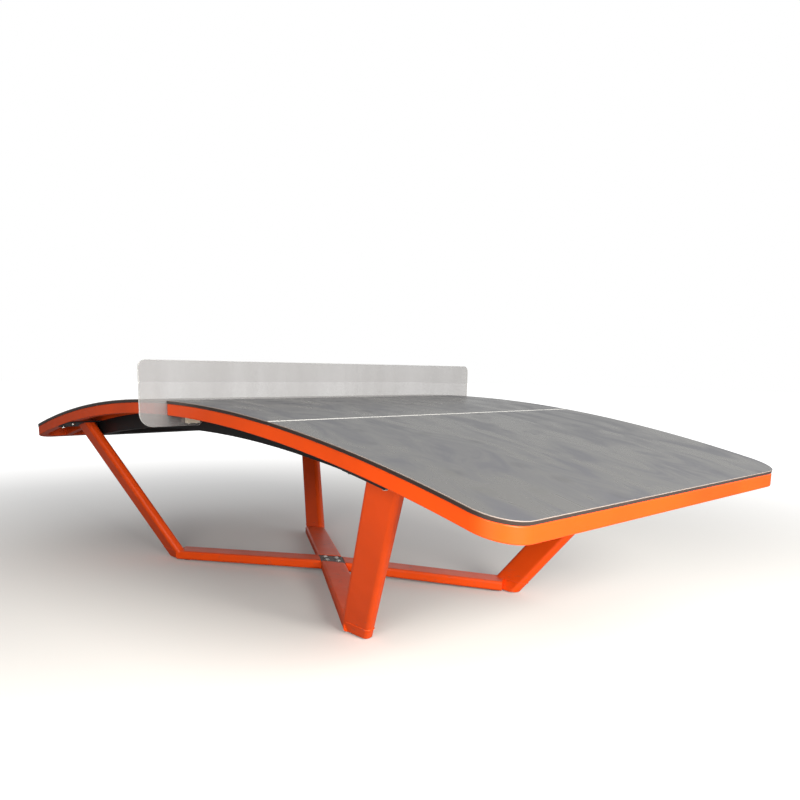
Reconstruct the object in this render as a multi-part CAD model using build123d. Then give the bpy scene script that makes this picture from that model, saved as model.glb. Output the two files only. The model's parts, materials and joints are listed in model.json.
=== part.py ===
"""Curved-top ball-game table with a clear net panel on a folded X base.

Millimetres, +X along the table, +Y across it, +Z up.  The origin is on the
floor under the middle of the table.  The far side is +Y and the right end +X.
"""
from build123d import *
import math
import os

os.makedirs("parts", exist_ok=True)

# ---------------------------------------------------------------- playing top
LENGTH = 3000.0
WIDTH = 1500.0
APEX_HEIGHT = 760.0
END_HEIGHT = 565.0
END_DROP = APEX_HEIGHT - END_HEIGHT
TOP_RADIUS = ((LENGTH / 2) ** 2 + END_DROP ** 2) / (2 * END_DROP)
ARC_CENTRE_Z = APEX_HEIGHT - TOP_RADIUS
CORNER_RADIUS = 100.0
BOARD_DEPTH = 12.0

# ------------------------------------------------------- painted steel subframe
RAIL_INSET = 2.0
RAIL_WIDTH = 40.0
RAIL_DEPTH = 53.0
WALL = 2.0
RIB_OUTER_Y = 600.0
RIB_WIDTH = 30.0
CROSS_RIB_X = (350.0, 700.0, 1280.0)
SLOT_HALF = 5.0
CENTRE_RAIL_WIDTH = 30.0

# ---------------------------------------------------------- black support beams
BEAM_WIDTH = 40.0
BEAM_DEPTH = 116.0
CROSS_BEAM_X = 1050.0
CROSS_BEAM_WIDTH = 60.0
CROSS_BEAM_DEPTH = 112.0
PLATE_THICKNESS = 6.0
PLATE_LENGTH = 160.0
PLATE_OUTER_Y = 746.0
PLATE_BOLT_INSET = 15.0
PLATE_BOLT_LENGTH = 25.0

# ------------------------------------------------------------- legs and X base
FOOT_X = 626.0
FOOT_Y = 393.0
LEG_RUN_X = 406.0
LEG_RUN_Y = 251.0
LEG_RISE = 600.0
LEG_EXTRA = 200.0
LEG_WIDTH = 118.0
LEG_DEPTH = 42.0
LEG_CORNER = 18.0
TUBE_WIDTH = 100.0
TUBE_DEPTH = 40.0
TUBE_CORNER = 10.0
ARM_SHIFT_X = 11.0
ARM_FOOT_Z = 6.0
ARM_CENTRE_Z = 26.0
ARM_BLANK_LENGTH = 1000.0
HUB_RECESS = 4.0
HUB_PLATE = 6.0
HUB_FLOOR = 2.0
TONGUE_LENGTH = 90.0
TONGUE_CLEARANCE = 4.0
ARM_BOLT_LENGTH = 20.0

# ------------------------------------------------------------- levelling feet
PAD_RADIUS = 24.0
PAD_HEIGHT = 5.5
PAD_CHAMFER = 1.5
PAD_FLOOR = 2.0
FLANGE_RADIUS = 8.0
FLANGE_HEIGHT = 2.0
STEM_RADIUS = 5.0
STEM_TOP = 36.0
NUT_CLEARANCE = 0.05
FOOT_NUT_RADIUS = 10.0
FOOT_NUT_LIFT = 1.6
PAD_INSET = 46.0

# ------------------------------------------------------------------ net panel
NET_THICKNESS = 8.0
NET_HALF_LENGTH = 850.0
NET_TOP = 900.0
NET_CORNER = 28.0
LOBE_BOTTOM = 668.0
LOBE_INNER_Y = 605.0
LOBE_CHAMFER = 18.0
LOBE_CORNER = 48.0
NET_REST_Z = 733.3
NET_GAP = 0.3
GUIDE_INNER_Y = 631.0
GUIDE_OUTER_Y = 681.0
GUIDE_WIDTH = 18.0
GUIDE_BOTTOM = 678.0
GUIDE_ROUND = 2.0

# ------------------------------------------------------------------ fasteners
BOLT_RADIUS = 5.0
BOLT_HEAD_RADIUS = 8.5
BOLT_HEAD_HEIGHT = 5.0
NUT_HEIGHT = 8.0
HUB_BOLT_RADIUS = 4.0
HUB_BOLT_PLACES = ((46.0, 0.0), (-46.0, 0.0), (0.0, 26.0), (0.0, -26.0))
ARM_BOLT_SIDE = 22.0
HOLE_CLEARANCE = 0.5
BOARD_SCREW_RADIUS = 2.5
BOARD_SCREW_Y = (-400.0, 0.0, 400.0)
BOARD_SCREW_END = 4.0
GUIDE_SCREW_RADIUS = 2.0
GUIDE_SCREW_SIDE = 14.0
SEAM_BOLT_Y = (-450.0, -150.0, 150.0, 450.0)
SPACER_RADIUS = 9.0

# Reach of the cutting blocks, past every edge of the table.
BIG = 4000.0
PAST = 1.0

QUADRANTS = {
    "far_right": (1, 1),
    "near_right": (1, -1),
    "far_left": (-1, 1),
    "near_left": (-1, -1),
}


# ------------------------------------------------------------------- geometry
def surface_z(x, depth=0.0):
    """Height of the curved surface that lies `depth` under the playing face."""
    radius = TOP_RADIUS - depth
    return ARC_CENTRE_Z + math.sqrt(radius ** 2 - x ** 2)


def slab(depth_top, depth_bottom, x0, x1, y0, y1):
    """Piece of the curved shell between two depths, straight in plan."""
    xm = (x0 + x1) / 2

    def at(x, depth):
        return (x, y0, surface_z(x, depth))

    upper = ThreePointArc(at(x0, depth_top), at(xm, depth_top), at(x1, depth_top))
    right = Line(at(x1, depth_top), at(x1, depth_bottom))
    lower = ThreePointArc(at(x1, depth_bottom), at(xm, depth_bottom), at(x0, depth_bottom))
    left = Line(at(x0, depth_bottom), at(x0, depth_top))
    face = Face(Wire([upper, right, lower, left]))
    return extrude(face, amount=y1 - y0, dir=(0, 1, 0))


def curved_tube(depth_top, depth_bottom, x0, x1, y0, y1):
    """Tube that follows the curve, with its walls along X and open ends."""
    outer = slab(depth_top, depth_bottom, x0, x1, y0, y1)
    inner = slab(
        depth_top + WALL, depth_bottom - WALL, x0 - 1, x1 + 1, y0 + WALL, y1 - WALL
    )
    return outer - inner


def cross_tube(depth_top, depth_bottom, x0, x1, y0, y1):
    """Tube across the table, with its walls along Y and open ends."""
    outer = slab(depth_top, depth_bottom, x0, x1, y0, y1)
    inner = slab(
        depth_top + WALL, depth_bottom - WALL, x0 + WALL, x1 - WALL, y0 - 1, y1 + 1
    )
    return outer - inner


def mirrored(shape, sign_x, sign_y):
    """Copy of a piece drawn at +X +Y, for any of the four quadrants."""
    result = shape
    if sign_x < 0:
        result = result.mirror(Plane.YZ)
    if sign_y < 0:
        result = result.mirror(Plane.XZ)
    return result


def x_range(sign_x, near, far):
    """Ordered X limits of a piece that lies between two distances from x = 0."""
    return (near, far) if sign_x > 0 else (-far, -near)


def half_space(origin, normal):
    """Large block on the side of a plane that its normal points to."""
    return Plane(origin=origin, z_dir=normal) * Pos(0, 0, BIG / 2) * Box(BIG, BIG, BIG)


def cylinder_z(x, y, z0, z1, radius):
    """Upright cylinder between two heights."""
    return Pos(x, y, (z0 + z1) / 2) * Cylinder(radius, z1 - z0)


def cylinder_x(y, z, x0, x1, radius):
    """Cylinder along X between two places."""
    turned = Rot(0, 90, 0) * Cylinder(radius, x1 - x0)
    return Pos((x0 + x1) / 2, y, z) * turned


def hex_head(x, y, z0, z1, radius):
    """Hexagonal bolt head or nut, as wide over its corners as two radii."""
    outline = Pos(x, y, z0) * RegularPolygon(radius, 6)
    return extrude(outline, amount=z1 - z0, dir=(0, 0, 1))


def save(shape, name):
    """Write one named piece."""
    solids = shape.solids() if hasattr(shape, "solids") else shape
    body = solids[0] if len(solids) == 1 else Compound(children=list(solids))
    body.label = name
    export_step(body, f"parts/{name}.step")


# ---------------------------------------------------------------- playing top
def board(sign_x):
    """One half of the playing top, with rounded outer corners."""
    x0, x1 = x_range(sign_x, SLOT_HALF, LENGTH)
    plan = RectangleRounded(LENGTH, WIDTH, CORNER_RADIUS)
    plan = plan & Pos((x0 + x1) / 2, 0) * Rectangle(x1 - x0, BIG)
    blank = slab(0, BOARD_DEPTH, -LENGTH / 2 - PAST, LENGTH / 2 + PAST, -WIDTH, WIDTH)
    half = extrude(plan, amount=APEX_HEIGHT + PAST) & blank
    for x, y in board_screw_places(sign_x):
        top = surface_z(x, BOARD_SCREW_END)
        half -= cylinder_z(x, y, surface_z(x, RAIL_DEPTH), top, BOARD_SCREW_RADIUS)
    return half


def board_screw_places(sign_x):
    """Where the screws that hold one board half pass through its cross ribs."""
    return [(sign_x * x, y) for x in CROSS_RIB_X for y in BOARD_SCREW_Y]


def board_screws():
    """Screws from below, through the cross ribs and into the boards."""
    screws = []
    head_radius = 2 * BOARD_SCREW_RADIUS
    for sign_x in (1, -1):
        for x, y in board_screw_places(sign_x):
            under = surface_z(abs(x) + head_radius, RAIL_DEPTH)
            shank = cylinder_z(x, y, under, surface_z(x, BOARD_SCREW_END), BOARD_SCREW_RADIUS)
            head = cylinder_z(x, y, under - BOARD_SCREW_RADIUS, under, head_radius)
            screws.append((shank + head).solid())
    return Compound(children=screws)


# ----------------------------------------------------------- painted subframe
def side_rail(sign_x, sign_y):
    """Straight-sided edge rail from the net slot to the start of the corner."""
    x0, x1 = x_range(sign_x, SLOT_HALF, LENGTH / 2 - CORNER_RADIUS)
    outer = WIDTH / 2 - RAIL_INSET
    y0, y1 = x_range(sign_y, outer - RAIL_WIDTH, outer)
    rail = curved_tube(BOARD_DEPTH, RAIL_DEPTH, x0, x1, y0, y1)
    for x, y in plate_bolt_places(sign_x, sign_y):
        z = surface_z(x, RAIL_DEPTH)
        rail -= cylinder_z(x, y, z - 2 * WALL, z + 3 * WALL, BOLT_RADIUS + HOLE_CLEARANCE)
    return rail


def corner_rail(sign_x, sign_y):
    """Quarter bend that joins a side rail to an end rail."""
    radius = CORNER_RADIUS - RAIL_INSET
    cx = LENGTH / 2 - CORNER_RADIUS
    cy = WIDTH / 2 - CORNER_RADIUS

    def quarter(r_out, r_in, d_top, d_bottom):
        ring = Circle(r_out) - Circle(r_in)
        quarter_ring = ring & Pos(BIG / 2, BIG / 2) * Rectangle(BIG, BIG)
        wall = extrude(Pos(cx, cy, 0) * quarter_ring, amount=APEX_HEIGHT)
        return wall & slab(d_top, d_bottom, cx - PAST, LENGTH / 2, cy - PAST, WIDTH / 2)

    outer = quarter(radius, radius - RAIL_WIDTH, BOARD_DEPTH, RAIL_DEPTH)
    inner = quarter(
        radius - WALL, radius - RAIL_WIDTH + WALL, BOARD_DEPTH + WALL, RAIL_DEPTH - WALL
    )
    return mirrored(outer - inner, sign_x, sign_y)


def end_rail(sign_x):
    """Rail across one end of the table."""
    outer = LENGTH / 2 - RAIL_INSET
    x0, x1 = x_range(sign_x, outer - RAIL_WIDTH, outer)
    reach = WIDTH / 2 - CORNER_RADIUS
    return cross_tube(BOARD_DEPTH, RAIL_DEPTH, x0, x1, -reach, reach)


def centre_rail(sign_x):
    """Rail beside the net slot, drilled for the seam bolts."""
    x0, x1 = x_range(sign_x, SLOT_HALF, SLOT_HALF + CENTRE_RAIL_WIDTH)
    reach = WIDTH / 2 - RAIL_INSET - RAIL_WIDTH
    rail = cross_tube(BOARD_DEPTH, RAIL_DEPTH, x0, x1, -reach, reach)
    for y in SEAM_BOLT_Y:
        rail -= cylinder_x(y, seam_bolt_z(), x0 - PAST, x1 + PAST, BOLT_RADIUS + HOLE_CLEARANCE)
    return rail


def rib(sign_x, sign_y):
    """Lengthwise rib under the board, from the centre rail to the end rail."""
    start = SLOT_HALF + CENTRE_RAIL_WIDTH
    end = LENGTH / 2 - RAIL_INSET - RAIL_WIDTH
    x0, x1 = x_range(sign_x, start, end)
    y0, y1 = x_range(sign_y, RIB_OUTER_Y - RIB_WIDTH, RIB_OUTER_Y)
    return curved_tube(BOARD_DEPTH, RAIL_DEPTH, x0, x1, y0, y1)


def cross_ribs(sign_x):
    """Cross ribs of one half, between its two lengthwise ribs."""
    reach = RIB_OUTER_Y - RIB_WIDTH
    ribs = []
    for x in CROSS_RIB_X:
        x0, x1 = x_range(sign_x, x - RIB_WIDTH / 2, x + RIB_WIDTH / 2)
        tube = cross_tube(BOARD_DEPTH, RAIL_DEPTH, x0, x1, -reach, reach)
        middle = sign_x * x
        bottom = surface_z(middle, RAIL_DEPTH + 2 * WALL)
        for y in BOARD_SCREW_Y:
            tube -= cylinder_z(middle, y, bottom, surface_z(middle, 0), BOARD_SCREW_RADIUS)
        ribs.append(tube.solid())
    return Compound(children=ribs)


def seam_bolt_z():
    """Height of the bolts through the centre rails, whose sleeves carry the net."""
    return NET_REST_Z - NET_GAP - SPACER_RADIUS


def seam_bolts():
    """Bolts that clamp the two halves together through the centre rails."""
    reach = SLOT_HALF + CENTRE_RAIL_WIDTH
    bolts = []
    nut_end = -reach - NUT_HEIGHT
    for y in SEAM_BOLT_Y:
        shank = cylinder_x(y, seam_bolt_z(), nut_end - PAST, reach + PAST, BOLT_RADIUS)
        head = cylinder_x(y, seam_bolt_z(), reach, reach + BOLT_HEAD_HEIGHT, BOLT_HEAD_RADIUS)
        nut = cylinder_x(y, seam_bolt_z(), nut_end, -reach, BOLT_HEAD_RADIUS)
        bolts.append((shank + head + nut).solid())
    return Compound(children=bolts)


def seam_spacers():
    """Sleeves on the seam bolts that keep the slot open for the net."""
    spacers = []
    for y in SEAM_BOLT_Y:
        sleeve = cylinder_x(y, seam_bolt_z(), -SLOT_HALF, SLOT_HALF, SPACER_RADIUS)
        bore = cylinder_x(y, seam_bolt_z(), -SLOT_HALF - PAST, SLOT_HALF + PAST, BOLT_RADIUS)
        spacers.append((sleeve - bore).solid())
    return Compound(children=spacers)


# -------------------------------------------------------- black support beams
def beam(sign_y):
    """Lengthwise beam under both halves, between the two cross beams."""
    reach = CROSS_BEAM_X - CROSS_BEAM_WIDTH / 2
    y0, y1 = x_range(sign_y, RIB_OUTER_Y - BEAM_WIDTH, RIB_OUTER_Y)
    return curved_tube(RAIL_DEPTH, BEAM_DEPTH, -reach, reach, y0, y1)


def cross_beam(sign_x):
    """Beam across the table between the tops of two legs."""
    half = CROSS_BEAM_WIDTH / 2
    x0, x1 = x_range(sign_x, CROSS_BEAM_X - half, CROSS_BEAM_X + half)
    return cross_tube(RAIL_DEPTH, CROSS_BEAM_DEPTH, x0, x1, -RIB_OUTER_Y, RIB_OUTER_Y)


def plate_bolt_places(sign_x, sign_y):
    """Where one leg plate is bolted up into the side rail."""
    y = WIDTH / 2 - RAIL_INSET - RAIL_WIDTH / 2
    reach = PLATE_LENGTH / 2 - PLATE_BOLT_INSET
    return [(sign_x * (CROSS_BEAM_X + dx), sign_y * y) for dx in (-reach, reach)]


def leg_mount(sign_x, sign_y):
    """Plate under the side rail, with the block that holds the leg to its cross beam."""
    half = PLATE_LENGTH / 2
    x0, x1 = x_range(sign_x, CROSS_BEAM_X - half, CROSS_BEAM_X + half)
    y0, y1 = x_range(sign_y, RIB_OUTER_Y, PLATE_OUTER_Y)
    plate = slab(RAIL_DEPTH, RAIL_DEPTH + PLATE_THICKNESS, x0, x1, y0, y1)
    for x, y in plate_bolt_places(sign_x, sign_y):
        z = surface_z(x, RAIL_DEPTH)
        low = z - 3 * PLATE_THICKNESS
        plate -= cylinder_z(x, y, low, z + PLATE_THICKNESS, BOLT_RADIUS + HOLE_CLEARANCE)
    return plate + leg_bracket(sign_x, sign_y)


def leg_bolts():
    """Bolts that hold the four leg plates to the side rails."""
    bolts = []
    for sign_x, sign_y in QUADRANTS.values():
        for x, y in plate_bolt_places(sign_x, sign_y):
            under = surface_z(abs(x) + BOLT_HEAD_RADIUS, RAIL_DEPTH + PLATE_THICKNESS)
            head = hex_head(x, y, under - BOLT_HEAD_HEIGHT, under, BOLT_HEAD_RADIUS)
            shank = cylinder_z(x, y, under - PAST, under + PLATE_BOLT_LENGTH, BOLT_RADIUS)
            bolts.append((shank + head).solid())
    return Compound(children=bolts)


def leg_bracket(sign_x, sign_y):
    """Block that fills the space between a cross beam's end and the leg."""
    half = CROSS_BEAM_WIDTH / 2
    block = slab(
        RAIL_DEPTH + PLATE_THICKNESS, CROSS_BEAM_DEPTH,
        CROSS_BEAM_X - half, CROSS_BEAM_X + half, RIB_OUTER_Y, PLATE_OUTER_Y
    )
    cutter = half_space(leg_inner_point(), leg_normal())
    return mirrored(largest(block - cutter), sign_x, sign_y)


# ------------------------------------------------------------- legs and X base
def leg_foot():
    """Where the far right leg's middle line reaches the floor."""
    return Vector(FOOT_X, FOOT_Y, 0)


def leg_axis():
    """Direction of the far right leg, from its foot up."""
    return Vector(LEG_RUN_X, LEG_RUN_Y, LEG_RISE).normalized()


def leg_normal():
    """Outward normal of the far right leg's broad outer face."""
    return leg_axis().cross(Vector(1, 0, 0)).normalized()


def leg_width_direction():
    """Direction across the far right leg's broad face, towards +X."""
    return leg_normal().cross(leg_axis()).normalized()


def leg_inner_point():
    """A point on the far right leg's inner broad face."""
    return leg_foot() - leg_normal() * (LEG_DEPTH / 2)


def leg_prism(clearance=0.0):
    """Leg tube that runs past both its ends, drawn smaller by a wall."""
    origin = leg_foot() - leg_axis() * LEG_EXTRA
    outline = RectangleRounded(
        LEG_WIDTH - 2 * clearance, LEG_DEPTH - 2 * clearance, LEG_CORNER - clearance
    )
    section = Plane(origin, x_dir=leg_width_direction(), z_dir=leg_axis()) * outline
    return extrude(section, amount=2 * LEG_RISE, dir=leg_axis())


def arm_foot():
    """Middle of the far right arm at the leg's foot."""
    return Vector(FOOT_X + ARM_SHIFT_X, FOOT_Y, ARM_FOOT_Z + TUBE_DEPTH / 2)


def arm_direction():
    """Direction of the far right arm, from the hub to the foot."""
    return (arm_foot() - Vector(0, 0, ARM_CENTRE_Z + TUBE_DEPTH / 2)).normalized()


def arm_side():
    """Horizontal direction across the far right arm."""
    return Vector(0, 0, 1).cross(arm_direction()).normalized()


def arm_prism(clearance=0.0, length=ARM_BLANK_LENGTH):
    """Arm tube from the middle of the table before its ends are cut."""
    origin = Vector(0, 0, ARM_CENTRE_Z + TUBE_DEPTH / 2)
    outline = RectangleRounded(
        TUBE_WIDTH - 2 * clearance, TUBE_DEPTH - 2 * clearance, TUBE_CORNER - clearance
    )
    section = Plane(origin, x_dir=arm_side(), z_dir=arm_direction()) * outline
    return extrude(section, amount=length, dir=arm_direction())


def arm_body(clearance=0.0):
    """Arm tube whose outer end is rounded like the leg that stands on it."""
    end = leg_foot() - arm_direction() * clearance
    beyond_leg = half_space(end, arm_direction()) - leg_prism(clearance)
    return arm_prism(clearance) - beyond_leg


def leg():
    """Far right leg: a flat tube that leans out from the arm to the rail."""
    up = arm_direction().cross(arm_side())
    low = arm_foot() + up * (TUBE_DEPTH / 2 - TUBE_CORNER)
    tube = leg_prism() - leg_prism(WALL)
    tube = tube & half_space(low, up)
    tube = tube - arm_prism()
    above = slab(
        -LEG_RISE, RAIL_DEPTH + PLATE_THICKNESS, CROSS_BEAM_X - 3 * TUBE_WIDTH,
        CROSS_BEAM_X + 3 * TUBE_WIDTH, FOOT_Y, WIDTH
    )
    return largest(tube - above)


def largest(shape):
    """Biggest solid of a cut shape."""
    return max(shape.solids(), key=lambda solid: solid.volume)


def arm():
    """Far right arm: a flat tube along the floor from the hub to the foot."""
    crossing_side = Vector(-arm_side().X, arm_side().Y, 0)
    tube = arm_body() - arm_body(WALL)
    tube = tube & half_space(crossing_side * (TUBE_WIDTH / 2), crossing_side)
    x, y = pad_place()
    tube -= cylinder_z(x, y, 0, TUBE_DEPTH / 2, STEM_RADIUS + PAST)
    for x, y, z in arm_bolt_places():
        hole = HUB_BOLT_RADIUS + HOLE_CLEARANCE
        tube -= cylinder_z(x, y, z - 2 * WALL, z + 3 * WALL, hole)
    return largest(tube)


def arm_bolt_places():
    """Underside places of the two bolts that hold an arm on its hub tongue."""
    distance = hub_reach() + TONGUE_LENGTH * 2 / 3
    middle = arm_direction() * distance
    places = []
    for side in (-ARM_BOLT_SIDE, ARM_BOLT_SIDE):
        spot = middle + arm_side() * side
        places.append((spot.X, spot.Y, ARM_CENTRE_Z + spot.Z))
    return places


def hub_reach():
    """Distance along an arm's middle line from the centre to the hub's side."""
    angle = math.atan2(arm_direction().Y, arm_direction().X)
    return TUBE_WIDTH / 2 / math.sin(2 * angle)


def hub_outline(half_width):
    """Diamond where the two crossing tubes meet, seen from above."""
    angle = math.atan2(arm_direction().Y, arm_direction().X)
    reach_x = half_width / math.sin(angle)
    reach_y = half_width / math.cos(angle)
    return make_face(
        Polyline((reach_x, 0), (0, reach_y), (-reach_x, 0), (0, -reach_y), close=True)
    )


def hub_block():
    """Diamond block with a tongue in each arm, drilled for its bolts."""
    top = ARM_CENTRE_Z + TUBE_DEPTH - HUB_RECESS - HUB_PLATE
    diamond = Pos(0, 0, ARM_CENTRE_Z + HUB_FLOOR) * hub_outline(TUBE_WIDTH / 2)
    block = extrude(diamond, amount=top - ARM_CENTRE_Z - HUB_FLOOR)
    tongue = arm_prism(WALL + TONGUE_CLEARANCE, hub_reach() + TONGUE_LENGTH)
    for x, y, z in arm_bolt_places():
        tongue -= cylinder_z(x, y, z, z + ARM_BOLT_LENGTH + PAST, HUB_BOLT_RADIUS)
    for sign_x, sign_y in QUADRANTS.values():
        block += mirrored(tongue, sign_x, sign_y)
    pocket = Pos(0, 0, top) * hub_outline(TUBE_WIDTH / 2 + HOLE_CLEARANCE)
    block -= extrude(pocket, amount=TUBE_DEPTH)
    for x, y in HUB_BOLT_PLACES:
        block -= cylinder_z(x, y, hub_bolt_end(), top + PAST, HUB_BOLT_RADIUS)
    return largest(block)


def hub_bolt_end():
    """Height of the hub bolts' lower ends."""
    return ARM_CENTRE_Z + 4 * WALL


def hub_plate():
    """Recessed plate on top of the hub."""
    top = ARM_CENTRE_Z + TUBE_DEPTH - HUB_RECESS
    outline = Pos(0, 0, top - HUB_PLATE) * hub_outline(TUBE_WIDTH / 2 - HOLE_CLEARANCE)
    plate = extrude(outline, amount=HUB_PLATE)
    for x, y in HUB_BOLT_PLACES:
        hole = HUB_BOLT_RADIUS + HOLE_CLEARANCE
        plate -= cylinder_z(x, y, top - HUB_PLATE - PAST, top + PAST, hole)
    return plate


def hub_bolts():
    """Hexagon bolts in the recessed plate."""
    top = ARM_CENTRE_Z + TUBE_DEPTH - HUB_RECESS
    bolts = []
    for x, y in HUB_BOLT_PLACES:
        head = hex_head(x, y, top, top + BOLT_HEAD_HEIGHT, BOLT_HEAD_RADIUS)
        shank = cylinder_z(x, y, hub_bolt_end(), top + PAST, HUB_BOLT_RADIUS)
        bolts.append((head + shank).solid())
    return Compound(children=bolts)


def arm_bolts():
    """Bolts from below, through each arm and into its hub tongue."""
    bolts = []
    for sign_x, sign_y in QUADRANTS.values():
        for x, y, z in arm_bolt_places():
            head_top = z - HOLE_CLEARANCE
            head = hex_head(x, y, head_top - BOLT_HEAD_HEIGHT, head_top, BOLT_HEAD_RADIUS)
            shank = cylinder_z(x, y, z - PAST, z + ARM_BOLT_LENGTH, HUB_BOLT_RADIUS)
            bolts.append(mirrored(head + shank, sign_x, sign_y).solid())
    return Compound(children=bolts)


# ------------------------------------------------------------- levelling feet
def pad_place():
    """Middle of the far right foot pad, a little inboard of the leg."""
    middle = arm_foot() - arm_direction() * PAD_INSET
    return middle.X, middle.Y


def foot_pad():
    """Low round pad that the foot stands on, with a chamfered rim."""
    x, y = pad_place()
    pad = cylinder_z(x, y, 0, PAD_HEIGHT, PAD_RADIUS)
    pad = chamfer(pad.edges().group_by(Axis.Z)[-1], PAD_CHAMFER)
    return pad - cylinder_z(x, y, PAD_FLOOR, PAD_HEIGHT + PAST, FLANGE_RADIUS)


def foot_stem():
    """Threaded stem with a flange in the pad, modelled as a plain rod."""
    x, y = pad_place()
    flange = cylinder_z(x, y, PAD_FLOOR, PAD_FLOOR + FLANGE_HEIGHT, FLANGE_RADIUS)
    return flange + cylinder_z(x, y, PAD_FLOOR, STEM_TOP, STEM_RADIUS)


def foot_nuts():
    """Nuts welded in the four arms, which the stems screw into."""
    nuts = []
    x, y = pad_place()
    low = ARM_FOOT_Z + WALL + FOOT_NUT_LIFT
    for sign_x, sign_y in QUADRANTS.values():
        nut = hex_head(x, y, low, low + NUT_HEIGHT, FOOT_NUT_RADIUS)
        nut -= cylinder_z(x, y, low - PAST, low + NUT_HEIGHT + PAST, STEM_RADIUS + NUT_CLEARANCE)
        nuts.append(mirrored(nut, sign_x, sign_y).solid())
    return Compound(children=nuts)


# ------------------------------------------------------------------ net panel
def net_panel():
    """Clear panel that stands in the slot, with a lobe outside each rail."""
    half = NET_HALF_LENGTH
    inner = LOBE_INNER_Y
    right = [
        (inner, NET_REST_Z),
        (inner, LOBE_BOTTOM + LOBE_CHAMFER),
        (inner + LOBE_CHAMFER, LOBE_BOTTOM),
        (half, LOBE_BOTTOM),
        (half, NET_TOP),
    ]
    left = [(-y, z) for y, z in reversed(right)]
    face = Plane.YZ * make_face(Polyline(*right, *left, close=True))
    panel = extrude(face, amount=NET_THICKNESS / 2, both=True)
    uprights = panel.edges().filter_by(Axis.X)
    upper = [edge for edge in uprights if edge.center().Z > NET_TOP - PAST]
    panel = fillet(upper, NET_CORNER)
    corners = panel.edges().filter_by(Axis.X).filter_by(lambda edge: abs(edge.center().Y) > half - PAST)
    lower = [edge for edge in corners if edge.center().Z < LOBE_BOTTOM + PAST]
    return fillet(lower, LOBE_CORNER)


def net_guides(sign_y):
    """Pair of pale blocks under the centre rails, one each side of the net."""
    blocks = []
    top = guide_top()
    y_mid = sign_y * (GUIDE_INNER_Y + GUIDE_OUTER_Y) / 2
    for sign_x in (1, -1):
        x_mid = sign_x * (SLOT_HALF + GUIDE_WIDTH / 2)
        block = Pos(x_mid, y_mid, (GUIDE_BOTTOM + top) / 2) * Box(
            GUIDE_WIDTH, GUIDE_OUTER_Y - GUIDE_INNER_Y, top - GUIDE_BOTTOM
        )
        block = fillet(block.edges().group_by(Axis.Z)[0], GUIDE_ROUND)
        for x, y in guide_screw_places(sign_x, sign_y):
            block -= cylinder_z(x, y, GUIDE_BOTTOM - PAST, top + PAST, GUIDE_SCREW_RADIUS)
        blocks.append(block.solid())
    return Compound(children=blocks)


def guide_top():
    """Height of the guide blocks' upper faces, against the centre rails."""
    return surface_z(SLOT_HALF + GUIDE_WIDTH, RAIL_DEPTH)


def guide_screw_places(sign_x, sign_y):
    """Two screws up through one guide block."""
    x = sign_x * (SLOT_HALF + GUIDE_WIDTH / 2)
    y_mid = sign_y * (GUIDE_INNER_Y + GUIDE_OUTER_Y) / 2
    return [(x, y_mid + side) for side in (-GUIDE_SCREW_SIDE, GUIDE_SCREW_SIDE)]


def guide_screws():
    """Small screws that hold the guide blocks up."""
    screws = []
    head_radius = 2 * GUIDE_SCREW_RADIUS
    for sign_x, sign_y in QUADRANTS.values():
        for x, y in guide_screw_places(sign_x, sign_y):
            shank = cylinder_z(x, y, GUIDE_BOTTOM - PAST, guide_top(), GUIDE_SCREW_RADIUS)
            head = cylinder_z(x, y, GUIDE_BOTTOM - head_radius / 2, GUIDE_BOTTOM, head_radius)
            screws.append((shank + head).solid())
    return Compound(children=screws)


# ---------------------------------------------------------------------- build
def build():
    """Make and write every piece."""
    for side, sign in (("right", 1), ("left", -1)):
        save(board(sign), f"board_{side}")
        save(end_rail(sign), f"end_rail_{side}")
        save(centre_rail(sign), f"centre_rail_{side}")
        save(cross_ribs(sign), f"cross_ribs_{side}")
        save(cross_beam(sign), f"cross_beam_{side}")
    for side, sign in (("far", 1), ("near", -1)):
        save(beam(sign), f"beam_{side}")
        save(net_guides(sign), f"net_guides_{side}")
    one_leg = leg()
    one_arm = arm()
    one_pad = foot_pad()
    one_stem = foot_stem()
    for place, (sign_x, sign_y) in QUADRANTS.items():
        save(side_rail(sign_x, sign_y), f"side_rail_{place}")
        save(corner_rail(sign_x, sign_y), f"corner_rail_{place}")
        save(rib(sign_x, sign_y), f"rib_{place}")
        save(leg_mount(sign_x, sign_y), f"leg_mount_{place}")
        save(mirrored(one_leg, sign_x, sign_y), f"leg_{place}")
        save(mirrored(one_arm, sign_x, sign_y), f"arm_{place}")
        save(mirrored(one_pad, sign_x, sign_y), f"foot_pad_{place}")
        save(mirrored(one_stem, sign_x, sign_y), f"foot_stem_{place}")
    save(hub_block(), "hub_block")
    save(hub_plate(), "hub_plate")
    save(hub_bolts(), "hub_bolts")
    save(arm_bolts(), "arm_bolts")
    save(leg_bolts(), "leg_bolts")
    save(foot_nuts(), "foot_nuts")
    save(board_screws(), "board_screws")
    save(seam_bolts(), "seam_bolts")
    save(seam_spacers(), "seam_spacers")
    save(guide_screws(), "guide_screws")
    save(net_panel(), "net_panel")


build()
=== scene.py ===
"""Looks of the curved-top ball game table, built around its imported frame.

Metres, +X along the table, +Y across it, +Z up, origin on the floor under the middle.
"""
import json
import math
import random

import bpy
from mathutils import Matrix, Vector


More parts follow.
